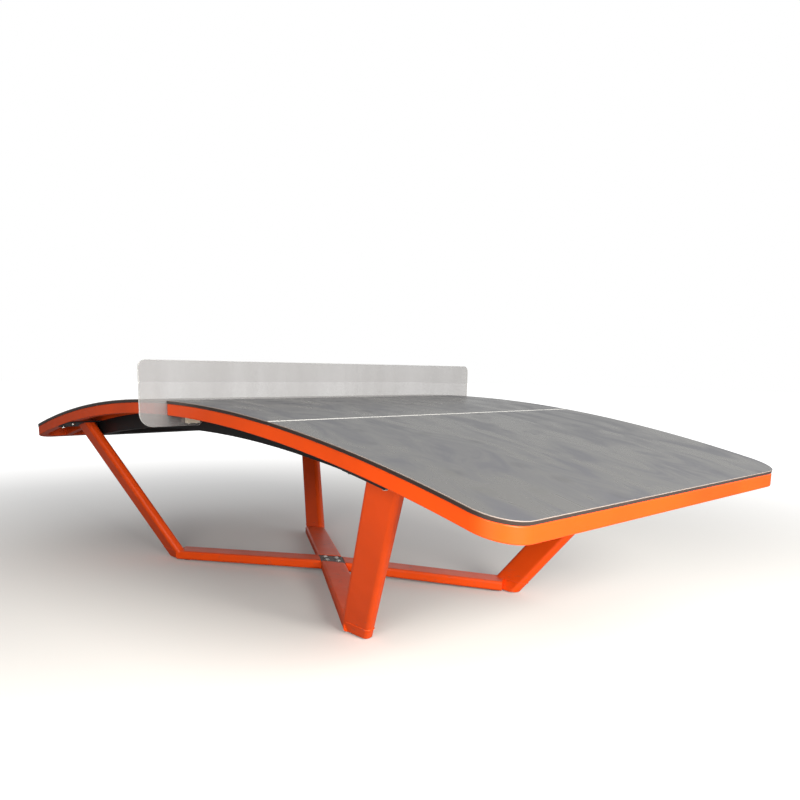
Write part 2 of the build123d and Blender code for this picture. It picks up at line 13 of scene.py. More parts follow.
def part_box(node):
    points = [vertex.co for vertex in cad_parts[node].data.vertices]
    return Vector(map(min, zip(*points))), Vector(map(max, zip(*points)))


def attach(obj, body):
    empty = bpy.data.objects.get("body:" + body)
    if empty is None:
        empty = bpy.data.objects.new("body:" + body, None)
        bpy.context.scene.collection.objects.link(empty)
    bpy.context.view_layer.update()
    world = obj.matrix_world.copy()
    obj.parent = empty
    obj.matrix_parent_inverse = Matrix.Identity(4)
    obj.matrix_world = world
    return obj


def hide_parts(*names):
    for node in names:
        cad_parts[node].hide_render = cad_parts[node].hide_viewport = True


bl_info = {
    "name": "Curved Ball Game Table",
    "version": (1, 0, 0),
    "blender": (4, 5, 0),
    "location": "3D View > Sidebar > Game Table",
    "description": "Boards, rails, net panel, welds, fasteners and finishes of a curved ball game table",
    "category": "Mesh",
}

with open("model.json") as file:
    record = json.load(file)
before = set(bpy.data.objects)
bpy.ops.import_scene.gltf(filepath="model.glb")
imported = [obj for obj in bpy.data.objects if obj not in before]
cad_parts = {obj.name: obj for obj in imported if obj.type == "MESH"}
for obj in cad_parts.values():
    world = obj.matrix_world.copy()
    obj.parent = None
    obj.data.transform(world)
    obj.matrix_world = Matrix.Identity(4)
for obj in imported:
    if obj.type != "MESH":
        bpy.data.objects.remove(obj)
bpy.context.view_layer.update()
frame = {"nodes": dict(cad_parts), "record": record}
PLACES = {"far_right": (1, 1), "near_right": (1, -1), "far_left": (-1, 1), "near_left": (-1, -1)}
SIDES = {"right": 1, "left": -1}
BOARD_LOW, BOARD_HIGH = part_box("board_right")
RAIL_LOW, RAIL_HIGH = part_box("side_rail_far_right")
CORNER_LOW, CORNER_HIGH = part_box("corner_rail_far_right")
NET_LOW, NET_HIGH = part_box("net_panel")
PAD_LOW, PAD_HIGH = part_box("foot_pad_far_right")


# ------------------------------------------------------------------ settings
class TableShape(bpy.types.PropertyGroup):
    """Sizes of the curved top."""
    half_length: bpy.props.FloatProperty(
        name="Half length", description="From the middle to one end",
        default=BOARD_HIGH.x, unit="LENGTH")
    half_width: bpy.props.FloatProperty(
        name="Half width", description="From the middle to one side",
        default=BOARD_HIGH.y, unit="LENGTH")
    apex_height: bpy.props.FloatProperty(
        name="Height at the net", description="Playing face above the floor at the net",
        default=0.760, unit="LENGTH")
    end_height: bpy.props.FloatProperty(
        name="Height at the ends", description="Playing face above the floor at both ends",
        default=0.565, unit="LENGTH")
    corner_radius: bpy.props.FloatProperty(
        name="Corner radius", description="Plan radius of the outer corners",
        default=BOARD_HIGH.x - RAIL_HIGH.x, unit="LENGTH")
    board_thickness: bpy.props.FloatProperty(
        name="Board thickness", description="Thickness of the laminate boards",
        default=0.012, unit="LENGTH")
    board_round: bpy.props.FloatProperty(
        name="Board edge round", description="Rounding of the boards' arrises",
        default=0.0028, unit="LENGTH")
    slot_half: bpy.props.FloatProperty(
        name="Half slot", description="Half the width of the net slot",
        default=BOARD_LOW.x, unit="LENGTH")
    line_place: bpy.props.FloatProperty(
        name="Line distance", description="Distance of the white lines from the middle",
        default=0.640, unit="LENGTH")
    line_half: bpy.props.FloatProperty(
        name="Half line", description="Half the width of the white lines",
        default=0.0055, unit="LENGTH")


class RailShape(bpy.types.PropertyGroup):
    """Sizes of the painted edge rails."""
    inset: bpy.props.FloatProperty(
        name="Inset", description="How far the rails stand back from the boards' edge",
        default=BOARD_HIGH.y - RAIL_HIGH.y, unit="LENGTH")
    width: bpy.props.FloatProperty(
        name="Width", description="Width of the rail tube",
        default=RAIL_HIGH.y - RAIL_LOW.y, unit="LENGTH")
    bottom_depth: bpy.props.FloatProperty(
        name="Bottom depth", description="Depth of the rails' lower face under the playing face",
        default=0.053, unit="LENGTH")
    edge_round: bpy.props.FloatProperty(
        name="Edge round", description="Rounding of the rail tube's edges",
        default=0.0035, unit="LENGTH")


class NetShape(bpy.types.PropertyGroup):
    """Sizes of the clear net panel."""
    notch_top: bpy.props.FloatProperty(
        name="Middle edge", description="Height of the panel's lower edge in the slot",
        default=0.7333, unit="LENGTH")
    lobe_inner: bpy.props.FloatProperty(
        name="Lobe inner edge", description="Distance of the lobes' inner edge from the middle",
        default=0.605, unit="LENGTH")
    lobe_chamfer: bpy.props.FloatProperty(
        name="Lobe chamfer", description="Chamfer at the lobes' inner lower corner",
        default=0.018, unit="LENGTH")
    lobe_radius: bpy.props.FloatProperty(
        name="Lobe corner radius", description="Radius of the lobes' outer lower corner",
        default=0.048, unit="LENGTH")
    top_radius: bpy.props.FloatProperty(
        name="Top corner radius", description="Radius of the upper corners",
        default=0.028, unit="LENGTH")
    polish: bpy.props.FloatProperty(
        name="Polished edge", description="Bevel of the polished edges",
        default=0.0011, unit="LENGTH")


class DetailShape(bpy.types.PropertyGroup):
    """Sizes of welds, bolt heads and feet."""
    arm_hub_top: bpy.props.FloatProperty(
        name="Arm top at the hub", description="Height of the arms' upper face at the crossing",
        default=0.066, unit="LENGTH")
    arm_foot: bpy.props.FloatVectorProperty(
        name="Arm top at the foot", description="Point on the arms' upper face under a leg",
        default=(0.637, 0.393, 0.046), unit="LENGTH", size=3)
    weld_radius: bpy.props.FloatProperty(
        name="Weld bead", description="Radius of the weld beads", default=0.0020, unit="LENGTH")
    head_chamfer: bpy.props.FloatProperty(
        name="Head chamfer", description="Chamfer of the hexagon heads", default=0.0007, unit="LENGTH")
    washer_radius: bpy.props.FloatProperty(
        name="Washer radius", description="Radius of the washers", default=0.0115, unit="LENGTH")
    washer_height: bpy.props.FloatProperty(
        name="Washer height", description="Height of the washers", default=0.0013, unit="LENGTH")
    pad_groove: bpy.props.FloatProperty(
        name="Pad groove", description="Depth of the groove round each foot pad",
        default=0.0009, unit="LENGTH")


class TableColours(bpy.types.PropertyGroup):
    """Base colours of the finishes."""
    orange: bpy.props.FloatVectorProperty(
        name="Frame paint", description="Powder coat of the frame, legs and arms",
        default=(0.80, 0.074, 0.004), subtype="COLOR", size=3)
    black: bpy.props.FloatVectorProperty(
        name="Beam paint", description="Powder coat of the support beams",
        default=(0.011, 0.011, 0.012), subtype="COLOR", size=3)
    board: bpy.props.FloatVectorProperty(
        name="Boards", description="Laminate of the playing top",
        default=(0.086, 0.087, 0.089), subtype="COLOR", size=3)
    marking: bpy.props.FloatVectorProperty(
        name="Marking", description="White lines on the playing top",
        default=(0.86, 0.86, 0.84), subtype="COLOR", size=3)
    net: bpy.props.FloatVectorProperty(
        name="Net panel", description="Tint of the clear panel",
        default=(0.25, 0.25, 0.26), subtype="COLOR", size=3)
    guide: bpy.props.FloatVectorProperty(
        name="Guide blocks", description="Plastic of the net guides",
        default=(0.78, 0.73, 0.60), subtype="COLOR", size=3)
    steel: bpy.props.FloatVectorProperty(
        name="Fasteners", description="Zinc-plated steel of bolts and screws",
        default=(0.56, 0.56, 0.55), subtype="COLOR", size=3)
    rubber: bpy.props.FloatVectorProperty(
        name="Foot pads", description="Rubber of the foot pads",
        default=(0.022, 0.022, 0.023), subtype="COLOR", size=3)
    floor: bpy.props.FloatVectorProperty(
        name="Floor", description="Studio floor", default=(0.74, 0.74, 0.74), subtype="COLOR", size=3)


class StudioSettings(bpy.types.PropertyGroup):
    """Camera and lights."""
    eye: bpy.props.FloatVectorProperty(
        name="Camera place", description="Where the camera stands",
        default=(2.3855, -1.9125, 0.8731), unit="LENGTH", size=3)
    heading: bpy.props.FloatProperty(
        name="Heading", description="Turn of the view from +Y towards -X",
        default=math.radians(48.33), unit="ROTATION")
    tilt: bpy.props.FloatProperty(
        name="Tilt", description="Upward tilt of the view",
        default=math.radians(-9.345), unit="ROTATION")
    roll: bpy.props.FloatProperty(
        name="Roll", description="Lean of the camera", default=math.radians(0.82), unit="ROTATION")
    lens: bpy.props.FloatProperty(
        name="Lens", description="Focal length in millimetres on a 36 mm sensor", default=32.5)
    shift_right: bpy.props.FloatProperty(
        name="Shift right", description="Lens shift to the right, in picture widths", default=0.039)
    shift_up: bpy.props.FloatProperty(
        name="Shift up", description="Lens shift upwards, in picture widths", default=0.1118)
    sky: bpy.props.FloatProperty(
        name="Room light", description="Strength of the room's light on the table", default=0.34)
    key: bpy.props.FloatProperty(
        name="Key light", description="Power of the key light", default=330.0, unit="POWER")
    fill: bpy.props.FloatProperty(
        name="Fill light", description="Power of the front fill", default=88.0, unit="POWER")


# -------------------------------------------------------------------- helpers
def shape():
    """Sizes of the curved top."""
    return bpy.context.scene.table_shape


def top_radius():
    """Radius of the playing face's arc."""
    s = shape()
    drop = s.apex_height - s.end_height
    return (s.half_length ** 2 + drop ** 2) / (2 * drop)


def surface_z(x, depth=0.0):
    """Height of the curved surface that lies a depth under the playing face."""
    radius = top_radius()
    return shape().apex_height - radius + math.sqrt((radius - depth) ** 2 - x ** 2)


def new_object(name, vertices, faces, materials):
    """Mesh object at the origin, smooth shaded, with its materials."""
    mesh = bpy.data.meshes.new(name)
    mesh.from_pydata([tuple(v) for v in vertices], [], faces)
    mesh.validate()
    mesh.shade_smooth()
    for material in materials:
        mesh.materials.append(material)
    obj = bpy.data.objects.new(name, mesh)
    bpy.context.collection.objects.link(obj)
    return obj


def add_bevel(obj, width, segments, method="ANGLE", angle=math.radians(40)):
    """Live bevel that rounds a piece's edges and keeps its faces flat."""
    bevel = obj.modifiers.new("rounded edges", "BEVEL")
    bevel.width = width
    bevel.segments = segments
    bevel.limit_method = method
    bevel.angle_limit = angle
    bevel.harden_normals = True
    bevel.use_clamp_overlap = True
    return bevel


def arc_points(centre, radius, start, end, steps):
    """Points of a plane arc, both ends included."""
    points = []
    for i in range(steps + 1):
        angle = start + (end - start) * i / steps
        points.append((centre[0] + radius * math.cos(angle), centre[1] + radius * math.sin(angle)))
    return points


def plan_direction(sign_x, sign_y, x, y):
    """Point of the far right quadrant moved to another quadrant."""
    return sign_x * x, sign_y * y


# ------------------------------------------------------------------ materials
def material_tree(name):
    """New node material with only its output."""
    material = bpy.data.materials.new(name)
    material.use_nodes = True
    tree = material.node_tree
    tree.nodes.clear()
    return material, tree.nodes, tree.links


def powder_coat(name, colour, shade, roughness, dust):
    """Powder coat with orange peel, cloudy gloss, dust on what faces up and scuffs near the floor."""
    material, nodes, links = material_tree(name)
    output = nodes.new("ShaderNodeOutputMaterial")
    output.label = "painted steel"
    output.location = (1400, 0)
    shader = nodes.new("ShaderNodeBsdfPrincipled")
    shader.label = "powder coat"
    shader.location = (1100, 0)
    shader.inputs["Specular IOR Level"].default_value = 0.22
    shader.inputs["Coat Weight"].default_value = 0.03
    shader.inputs["Coat Roughness"].default_value = 0.25
    place = nodes.new("ShaderNodeTexCoord")
    place.label = "place on the table"
    place.location = (-900, 0)

    cloud = nodes.new("ShaderNodeTexNoise")
    cloud.label = "uneven film thickness"
    cloud.location = (-600, 300)
    cloud.inputs["Scale"].default_value = 3.2
    cloud.inputs["Detail"].default_value = 4.0
    cloud_ramp = nodes.new("ShaderNodeMapRange")
    cloud_ramp.label = "how much the tone varies"
    cloud_ramp.location = (-350, 300)
    cloud_ramp.inputs["From Min"].default_value = 0.35
    cloud_ramp.inputs["From Max"].default_value = 0.7
    tone = nodes.new("ShaderNodeMix")
    tone.label = "paint tone"
    tone.location = (-100, 300)
    tone.data_type = "RGBA"
    tone.inputs[6].default_value = (*colour, 1)
    tone.inputs[7].default_value = (*shade, 1)
    links.new(place.outputs["Object"], cloud.inputs["Vector"])
    links.new(cloud.outputs["Fac"], cloud_ramp.inputs["Value"])
    links.new(cloud_ramp.outputs["Result"], tone.inputs[0])

    facing = nodes.new("ShaderNodeNewGeometry")
    facing.label = "which way it faces"
    facing.location = (-900, -250)
    upward = nodes.new("ShaderNodeSeparateXYZ")
    upward.label = "how far it faces up"
    upward.location = (-600, -250)
    settle = nodes.new("ShaderNodeMapRange")
    settle.label = "dust settles on upper faces"
    settle.location = (-350, -250)
    settle.inputs["From Min"].default_value = 0.5
    settle.inputs["From Max"].default_value = 1.0
    settle.inputs["To Max"].default_value = dust
    grains = nodes.new("ShaderNodeTexNoise")
    grains.label = "patchy dust"
    grains.location = (-600, -450)
    grains.inputs["Scale"].default_value = 26.0
    grains.inputs["Detail"].default_value = 7.0
    dusty = nodes.new("ShaderNodeMath")
    dusty.label = "dust amount"
    dusty.location = (-100, -300)
    dusty.operation = "MULTIPLY"
    dust_colour = nodes.new("ShaderNodeMix")
    dust_colour.label = "dust over paint"
    dust_colour.location = (150, 200)
    dust_colour.data_type = "RGBA"
    dust_colour.inputs[7].default_value = (0.55, 0.50, 0.44, 1)
    links.new(facing.outputs["Normal"], upward.inputs["Vector"])
    links.new(upward.outputs["Z"], settle.inputs["Value"])
    links.new(place.outputs["Object"], grains.inputs["Vector"])
    links.new(settle.outputs["Result"], dusty.inputs[0])
    links.new(grains.outputs["Fac"], dusty.inputs[1])
    links.new(dusty.outputs["Value"], dust_colour.inputs[0])
    links.new(tone.outputs[2], dust_colour.inputs[6])

    height = nodes.new("ShaderNodeSeparateXYZ")
    height.label = "height above the floor"
    height.location = (-600, -700)
    low = nodes.new("ShaderNodeMapRange")
    low.label = "only near the floor"
    low.location = (-350, -700)
    low.inputs["From Min"].default_value = 0.16
    low.inputs["From Max"].default_value = 0.0
    scratch_map = nodes.new("ShaderNodeMapping")
    scratch_map.label = "stretched along the floor"
    scratch_map.location = (-600, -900)
    scratch_map.inputs["Scale"].default_value = (9.0, 9.0, 60.0)
    scratch = nodes.new("ShaderNodeTexNoise")
    scratch.label = "scuff marks"
    scratch.location = (-350, -900)
    scratch.inputs["Scale"].default_value = 4.0
    scratch.inputs["Detail"].default_value = 8.0
    scratch_cut = nodes.new("ShaderNodeMapRange")
    scratch_cut.label = "few and thin"
    scratch_cut.location = (-100, -900)
    scratch_cut.inputs["From Min"].default_value = 0.60
    scratch_cut.inputs["From Max"].default_value = 0.72
    scratch_cut.inputs["To Max"].default_value = 0.55
    scuffs = nodes.new("ShaderNodeMath")
    scuffs.label = "scuffs near the floor"
    scuffs.location = (150, -800)
    scuffs.operation = "MULTIPLY"
    scuff_colour = nodes.new("ShaderNodeMix")
    scuff_colour.label = "scuffed paint"
    scuff_colour.location = (450, 200)
    scuff_colour.data_type = "RGBA"
    scuff_colour.inputs[7].default_value = (0.12, 0.10, 0.09, 1)
    links.new(place.outputs["Object"], height.inputs["Vector"])
    links.new(height.outputs["Z"], low.inputs["Value"])
    links.new(place.outputs["Object"], scratch_map.inputs["Vector"])
    links.new(scratch_map.outputs["Vector"], scratch.inputs["Vector"])
    links.new(scratch.outputs["Fac"], scratch_cut.inputs["Value"])
    links.new(low.outputs["Result"], scuffs.inputs[0])
    links.new(scratch_cut.outputs["Result"], scuffs.inputs[1])
    links.new(scuffs.outputs["Value"], scuff_colour.inputs[0])
    links.new(dust_colour.outputs[2], scuff_colour.inputs[6])
    links.new(scuff_colour.outputs[2], shader.inputs["Base Color"])

    gloss = nodes.new("ShaderNodeTexNoise")
    gloss.label = "cloudy gloss"
    gloss.location = (150, -450)
    gloss.inputs["Scale"].default_value = 11.0
    gloss.inputs["Detail"].default_value = 5.0
    gloss_range = nodes.new("ShaderNodeMapRange")
    gloss_range.label = "satin range"
    gloss_range.location = (450, -450)
    gloss_range.inputs["To Min"].default_value = roughness - 0.07
    gloss_range.inputs["To Max"].default_value = roughness + 0.09
    links.new(place.outputs["Object"], gloss.inputs["Vector"])
    links.new(gloss.outputs["Fac"], gloss_range.inputs["Value"])
    links.new(gloss_range.outputs["Result"], shader.inputs["Roughness"])

    peel = nodes.new("ShaderNodeTexNoise")
    peel.label = "orange peel"
    peel.location = (450, -700)
    peel.inputs["Scale"].default_value = 420.0
    peel.inputs["Detail"].default_value = 2.0
    bump = nodes.new("ShaderNodeBump")
    bump.label = "paint surface"
    bump.location = (800, -600)
    bump.inputs["Strength"].default_value = 0.14
    bump.inputs["Distance"].default_value = 0.0006
    links.new(place.outputs["Object"], peel.inputs["Vector"])
    links.new(peel.outputs["Fac"], bump.inputs["Height"])
    links.new(bump.outputs["Normal"], shader.inputs["Normal"])
    links.new(shader.outputs["BSDF"], output.inputs["Surface"])
    effects = {
        "Paint tone": (cloud, cloud_ramp, tone),
        "Dust": (facing, upward, settle, grains, dusty, dust_colour),
        "Scuffs": (height, low, scratch_map, scratch, scratch_cut, scuffs, scuff_colour),
        "Gloss": (gloss, gloss_range),
        "Orange peel": (peel, bump),
    }
    for label, members in effects.items():
        box = nodes.new("NodeFrame")
        box.label = label
        for node in members:
            node.parent = box
    return material


def laminate(name, colour, marking, line_place, line_half):
    """Satin laminate with wiped smudges, ball scuffs and a white line across each half."""
    material, nodes, links = material_tree(name)
    output = nodes.new("ShaderNodeOutputMaterial")
    output.label = "playing face"
    output.location = (1500, 0)
    shader = nodes.new("ShaderNodeBsdfPrincipled")
    shader.label = "laminate"
    shader.location = (1200, 0)
    shader.inputs["Specular IOR Level"].default_value = 0.5
    place = nodes.new("ShaderNodeTexCoord")
    place.label = "place on the table"
    place.location = (-1100, 0)

    speckle = nodes.new("ShaderNodeTexNoise")
    speckle.label = "printed grain"
    speckle.location = (-800, 400)
    speckle.inputs["Scale"].default_value = 260.0
    speckle.inputs["Detail"].default_value = 3.0
    speckle_mix = nodes.new("ShaderNodeMix")
    speckle_mix.label = "laminate tone"
    speckle_mix.location = (-500, 400)
    speckle_mix.data_type = "RGBA"
    speckle_mix.inputs[6].default_value = (*[c * 0.82 for c in colour], 1)
    speckle_mix.inputs[7].default_value = (*[c * 1.18 for c in colour], 1)
    links.new(place.outputs["Object"], speckle.inputs["Vector"])
    links.new(speckle.outputs["Fac"], speckle_mix.inputs[0])

    wipe_map = nodes.new("ShaderNodeMapping")
    wipe_map.label = "wiped lengthwise"
    wipe_map.location = (-800, 100)
    wipe_map.inputs["Rotation"].default_value = (0, 0, math.radians(24))
    wipe_map.inputs["Scale"].default_value = (1.0, 2.1, 1.0)
    wipe = nodes.new("ShaderNodeTexNoise")
    wipe.label = "wiped smudges"
    wipe.location = (-550, 100)
    wipe.inputs["Scale"].default_value = 3.0
    wipe.inputs["Detail"].default_value = 6.0
    wipe.inputs["Roughness"].default_value = 0.62
    wipe.inputs["Distortion"].default_value = 1.1
    wipe_ramp = nodes.new("ShaderNodeMapRange")
    wipe_ramp.label = "smudge edges"
    wipe_ramp.location = (-300, 100)
    wipe_ramp.inputs["From Min"].default_value = 0.42
    wipe_ramp.inputs["From Max"].default_value = 0.62
    links.new(place.outputs["Object"], wipe_map.inputs["Vector"])
    links.new(wipe_map.outputs["Vector"], wipe.inputs["Vector"])
    links.new(wipe.outputs["Fac"], wipe_ramp.inputs["Value"])
    haze = nodes.new("ShaderNodeMix")
    haze.label = "bluish smudges"
    haze.location = (-50, 300)
    haze.data_type = "RGBA"
    haze.inputs[7].default_value = (colour[0] * 0.86, colour[1] * 0.88, colour[2] * 1.02, 1)
    links.new(wipe_ramp.outputs["Result"], haze.inputs[0])
    links.new(speckle_mix.outputs[2], haze.inputs[6])

    prints = nodes.new("ShaderNodeTexVoronoi")
    prints.label = "where balls landed"
    prints.location = (-800, -200)
    prints.inputs["Scale"].default_value = 5.5
    prints.inputs["Randomness"].default_value = 1.0
    ring = nodes.new("ShaderNodeMapRange")
    ring.label = "faint round prints"
    ring.location = (-550, -200)
    ring.inputs["From Min"].default_value = 0.22
    ring.inputs["From Max"].default_value = 0.10
    print_noise = nodes.new("ShaderNodeTexNoise")
    print_noise.label = "broken prints"
    print_noise.location = (-550, -420)
    print_noise.inputs["Scale"].default_value = 34.0
    print_noise.inputs["Detail"].default_value = 5.0
    print_mask = nodes.new("ShaderNodeMath")
    print_mask.label = "ball prints"
    print_mask.location = (-300, -250)
    print_mask.operation = "MULTIPLY"
    links.new(place.outputs["Object"], prints.inputs["Vector"])
    links.new(prints.outputs["Distance"], ring.inputs["Value"])
    links.new(place.outputs["Object"], print_noise.inputs["Vector"])
    links.new(ring.outputs["Result"], print_mask.inputs[0])
    links.new(print_noise.outputs["Fac"], print_mask.inputs[1])

    rough_a = nodes.new("ShaderNodeMapRange")
    rough_a.label = "gloss of smudges"
    rough_a.location = (-50, -50)
    rough_a.inputs["To Min"].default_value = 0.27
    rough_a.inputs["To Max"].default_value = 0.38
    rough_b = nodes.new("ShaderNodeMath")
    rough_b.label = "prints are duller"
    rough_b.location = (200, -150)
    rough_b.operation = "MULTIPLY_ADD"
    rough_b.inputs[1].default_value = 0.16
    links.new(wipe_ramp.outputs["Result"], rough_a.inputs["Value"])
    links.new(print_mask.outputs["Value"], rough_b.inputs[0])
    links.new(rough_a.outputs["Result"], rough_b.inputs[2])
    links.new(rough_b.outputs["Value"], shader.inputs["Roughness"])

    split = nodes.new("ShaderNodeSeparateXYZ")
    split.label = "distance along the table"
    split.location = (-300, 650)
    side = nodes.new("ShaderNodeMath")
    side.label = "same on both halves"
    side.location = (-50, 650)
    side.operation = "ABSOLUTE"
    stripe = nodes.new("ShaderNodeMath")
    stripe.label = "one line on each half"
    stripe.location = (200, 650)
    stripe.operation = "COMPARE"
    stripe.inputs[1].default_value = line_place
    stripe.inputs[2].default_value = line_half
    worn = nodes.new("ShaderNodeTexNoise")
    worn.label = "slightly worn line"
    worn.location = (200, 900)
    worn.inputs["Scale"].default_value = 90.0
    worn_range = nodes.new("ShaderNodeMapRange")
    worn_range.label = "line cover"
    worn_range.location = (450, 900)
    worn_range.inputs["From Min"].default_value = 0.2
    worn_range.inputs["From Max"].default_value = 0.42
    worn_range.inputs["To Min"].default_value = 0.75
    line_mask = nodes.new("ShaderNodeMath")
    line_mask.label = "painted line"
    line_mask.location = (700, 700)
    line_mask.operation = "MULTIPLY"
    paint = nodes.new("ShaderNodeMix")
    paint.label = "line over laminate"
    paint.location = (950, 400)
    paint.data_type = "RGBA"
    paint.inputs[7].default_value = (*marking, 1)
    links.new(place.outputs["Object"], split.inputs["Vector"])
    links.new(split.outputs["X"], side.inputs[0])
    links.new(side.outputs["Value"], stripe.inputs[0])
    links.new(place.outputs["Object"], worn.inputs["Vector"])
    links.new(worn.outputs["Fac"], worn_range.inputs["Value"])
    links.new(stripe.outputs["Value"], line_mask.inputs[0])
    links.new(worn_range.outputs["Result"], line_mask.inputs[1])
    links.new(line_mask.outputs["Value"], paint.inputs[0])
    links.new(haze.outputs[2], paint.inputs[6])
    links.new(paint.outputs[2], shader.inputs["Base Color"])

    tooth = nodes.new("ShaderNodeTexNoise")
    tooth.label = "fine tooth"
    tooth.location = (650, -300)
    tooth.inputs["Scale"].default_value = 700.0
    bump = nodes.new("ShaderNodeBump")
    bump.label = "laminate surface"
    bump.location = (900, -300)
    bump.inputs["Strength"].default_value = 0.06
    bump.inputs["Distance"].default_value = 0.0004
    links.new(place.outputs["Object"], tooth.inputs["Vector"])
    links.new(tooth.outputs["Fac"], bump.inputs["Height"])
    links.new(bump.outputs["Normal"], shader.inputs["Normal"])
    links.new(shader.outputs["BSDF"], output.inputs["Surface"])
    effects = {
        "Printed grain": (speckle, speckle_mix),
        "Smudges": (wipe_map, wipe, wipe_ramp, haze),
        "Ball prints": (prints, ring, print_noise, print_mask),
        "Gloss": (rough_a, rough_b),
        "White line": (split, side, stripe, worn, worn_range, line_mask, paint),
        "Surface": (tooth, bump),
    }
    for label, members in effects.items():
        box = nodes.new("NodeFrame")
        box.label = label
        for node in members:
            node.parent = box
    return material


def board_core(name, apex, radius):
    """Edge of the laminate: a painted highlight on the rounded arris over dark pressed paper layers."""
    material, nodes, links = material_tree(name)
    output = nodes.new("ShaderNodeOutputMaterial")
    output.label = "board edge"
    output.location = (900, 0)
    shader = nodes.new("ShaderNodeBsdfPrincipled")
    shader.label = "pressed core"
    shader.location = (600, 0)
    shader.inputs["Roughness"].default_value = 0.3
    shader.inputs["Coat Weight"].default_value = 0.3
    shader.inputs["Coat Roughness"].default_value = 0.15
    place = nodes.new("ShaderNodeTexCoord")
    place.label = "place on the table"
    place.location = (-1500, 0)
    layers_map = nodes.new("ShaderNodeMapping")
    layers_map.label = "layers lie flat"
    layers_map.location = (-600, 200)
    layers_map.inputs["Scale"].default_value = (3.0, 3.0, 900.0)
    layers = nodes.new("ShaderNodeTexNoise")
    layers.label = "pressed layers"
    layers.location = (-350, 200)
    layers.inputs["Scale"].default_value = 1.0
    layers.inputs["Detail"].default_value = 3.0
    tone = nodes.new("ShaderNodeMix")
    tone.label = "core tone"
    tone.location = (-50, 200)
    tone.data_type = "RGBA"
    tone.inputs[6].default_value = (0.012, 0.009, 0.008, 1)
    tone.inputs[7].default_value = (0.045, 0.026, 0.020, 1)
    links.new(place.outputs["Object"], layers_map.inputs["Vector"])
    links.new(layers_map.outputs["Vector"], layers.inputs["Vector"])
    links.new(layers.outputs["Fac"], tone.inputs[0])

    split = nodes.new("ShaderNodeSeparateXYZ")
    split.label = "along and up"
    split.location = (-1300, -200)
    squared = nodes.new("ShaderNodeMath")
    squared.label = "distance along, squared"
    squared.location = (-1100, -200)
    squared.operation = "MULTIPLY"
    rest = nodes.new("ShaderNodeMath")
    rest.label = "what the arc leaves"
    rest.location = (-900, -200)
    rest.operation = "SUBTRACT"
    rest.inputs[0].default_value = radius ** 2
    arc = nodes.new("ShaderNodeMath")
    arc.label = "height of the arc"
    arc.location = (-700, -200)
    arc.operation = "SQRT"
    face = nodes.new("ShaderNodeMath")
    face.label = "height of the playing face"
    face.location = (-500, -200)
    face.operation = "ADD"
    face.inputs[1].default_value = apex - radius
    depth = nodes.new("ShaderNodeMath")
    depth.label = "depth under the playing face"
    depth.location = (-300, -200)
    depth.operation = "SUBTRACT"
    # Pale colour on the top 1.8 to 2.8 mm of the board edge: a painted highlight on the rounded arris
    arris = nodes.new("ShaderNodeMapRange")
    arris.label = "painted highlight on the arris"
    arris.location = (-50, -200)
    arris.inputs["From Min"].default_value = 0.0028
    arris.inputs["From Max"].default_value = 0.0018
    painted_arris_highlight = nodes.new("ShaderNodeMix")
    painted_arris_highlight.label = "painted highlight over core"
    painted_arris_highlight.location = (300, 100)
    painted_arris_highlight.data_type = "RGBA"
    painted_arris_highlight.inputs[7].default_value = (0.30, 0.25, 0.23, 1)
    links.new(place.outputs["Object"], split.inputs["Vector"])
    links.new(split.outputs["X"], squared.inputs[0])
    links.new(split.outputs["X"], squared.inputs[1])
    links.new(squared.outputs["Value"], rest.inputs[1])
    links.new(rest.outputs["Value"], arc.inputs[0])
    links.new(arc.outputs["Value"], face.inputs[0])
    links.new(face.outputs["Value"], depth.inputs[0])
    links.new(split.outputs["Z"], depth.inputs[1])
    links.new(depth.outputs["Value"], arris.inputs["Value"])
    links.new(arris.outputs["Result"], painted_arris_highlight.inputs[0])
    links.new(tone.outputs[2], painted_arris_highlight.inputs[6])
    links.new(painted_arris_highlight.outputs[2], shader.inputs["Base Color"])
    links.new(shader.outputs["BSDF"], output.inputs["Surface"])
    effects = {
        "Layers": (layers_map, layers, tone),
        "Painted arris highlight": (split, squared, rest, arc, face, depth, arris, painted_arris_highlight),
    }
    for label, members in effects.items():
        box = nodes.new("NodeFrame")
        box.label = label
        for node in members:
            node.parent = box
    return material


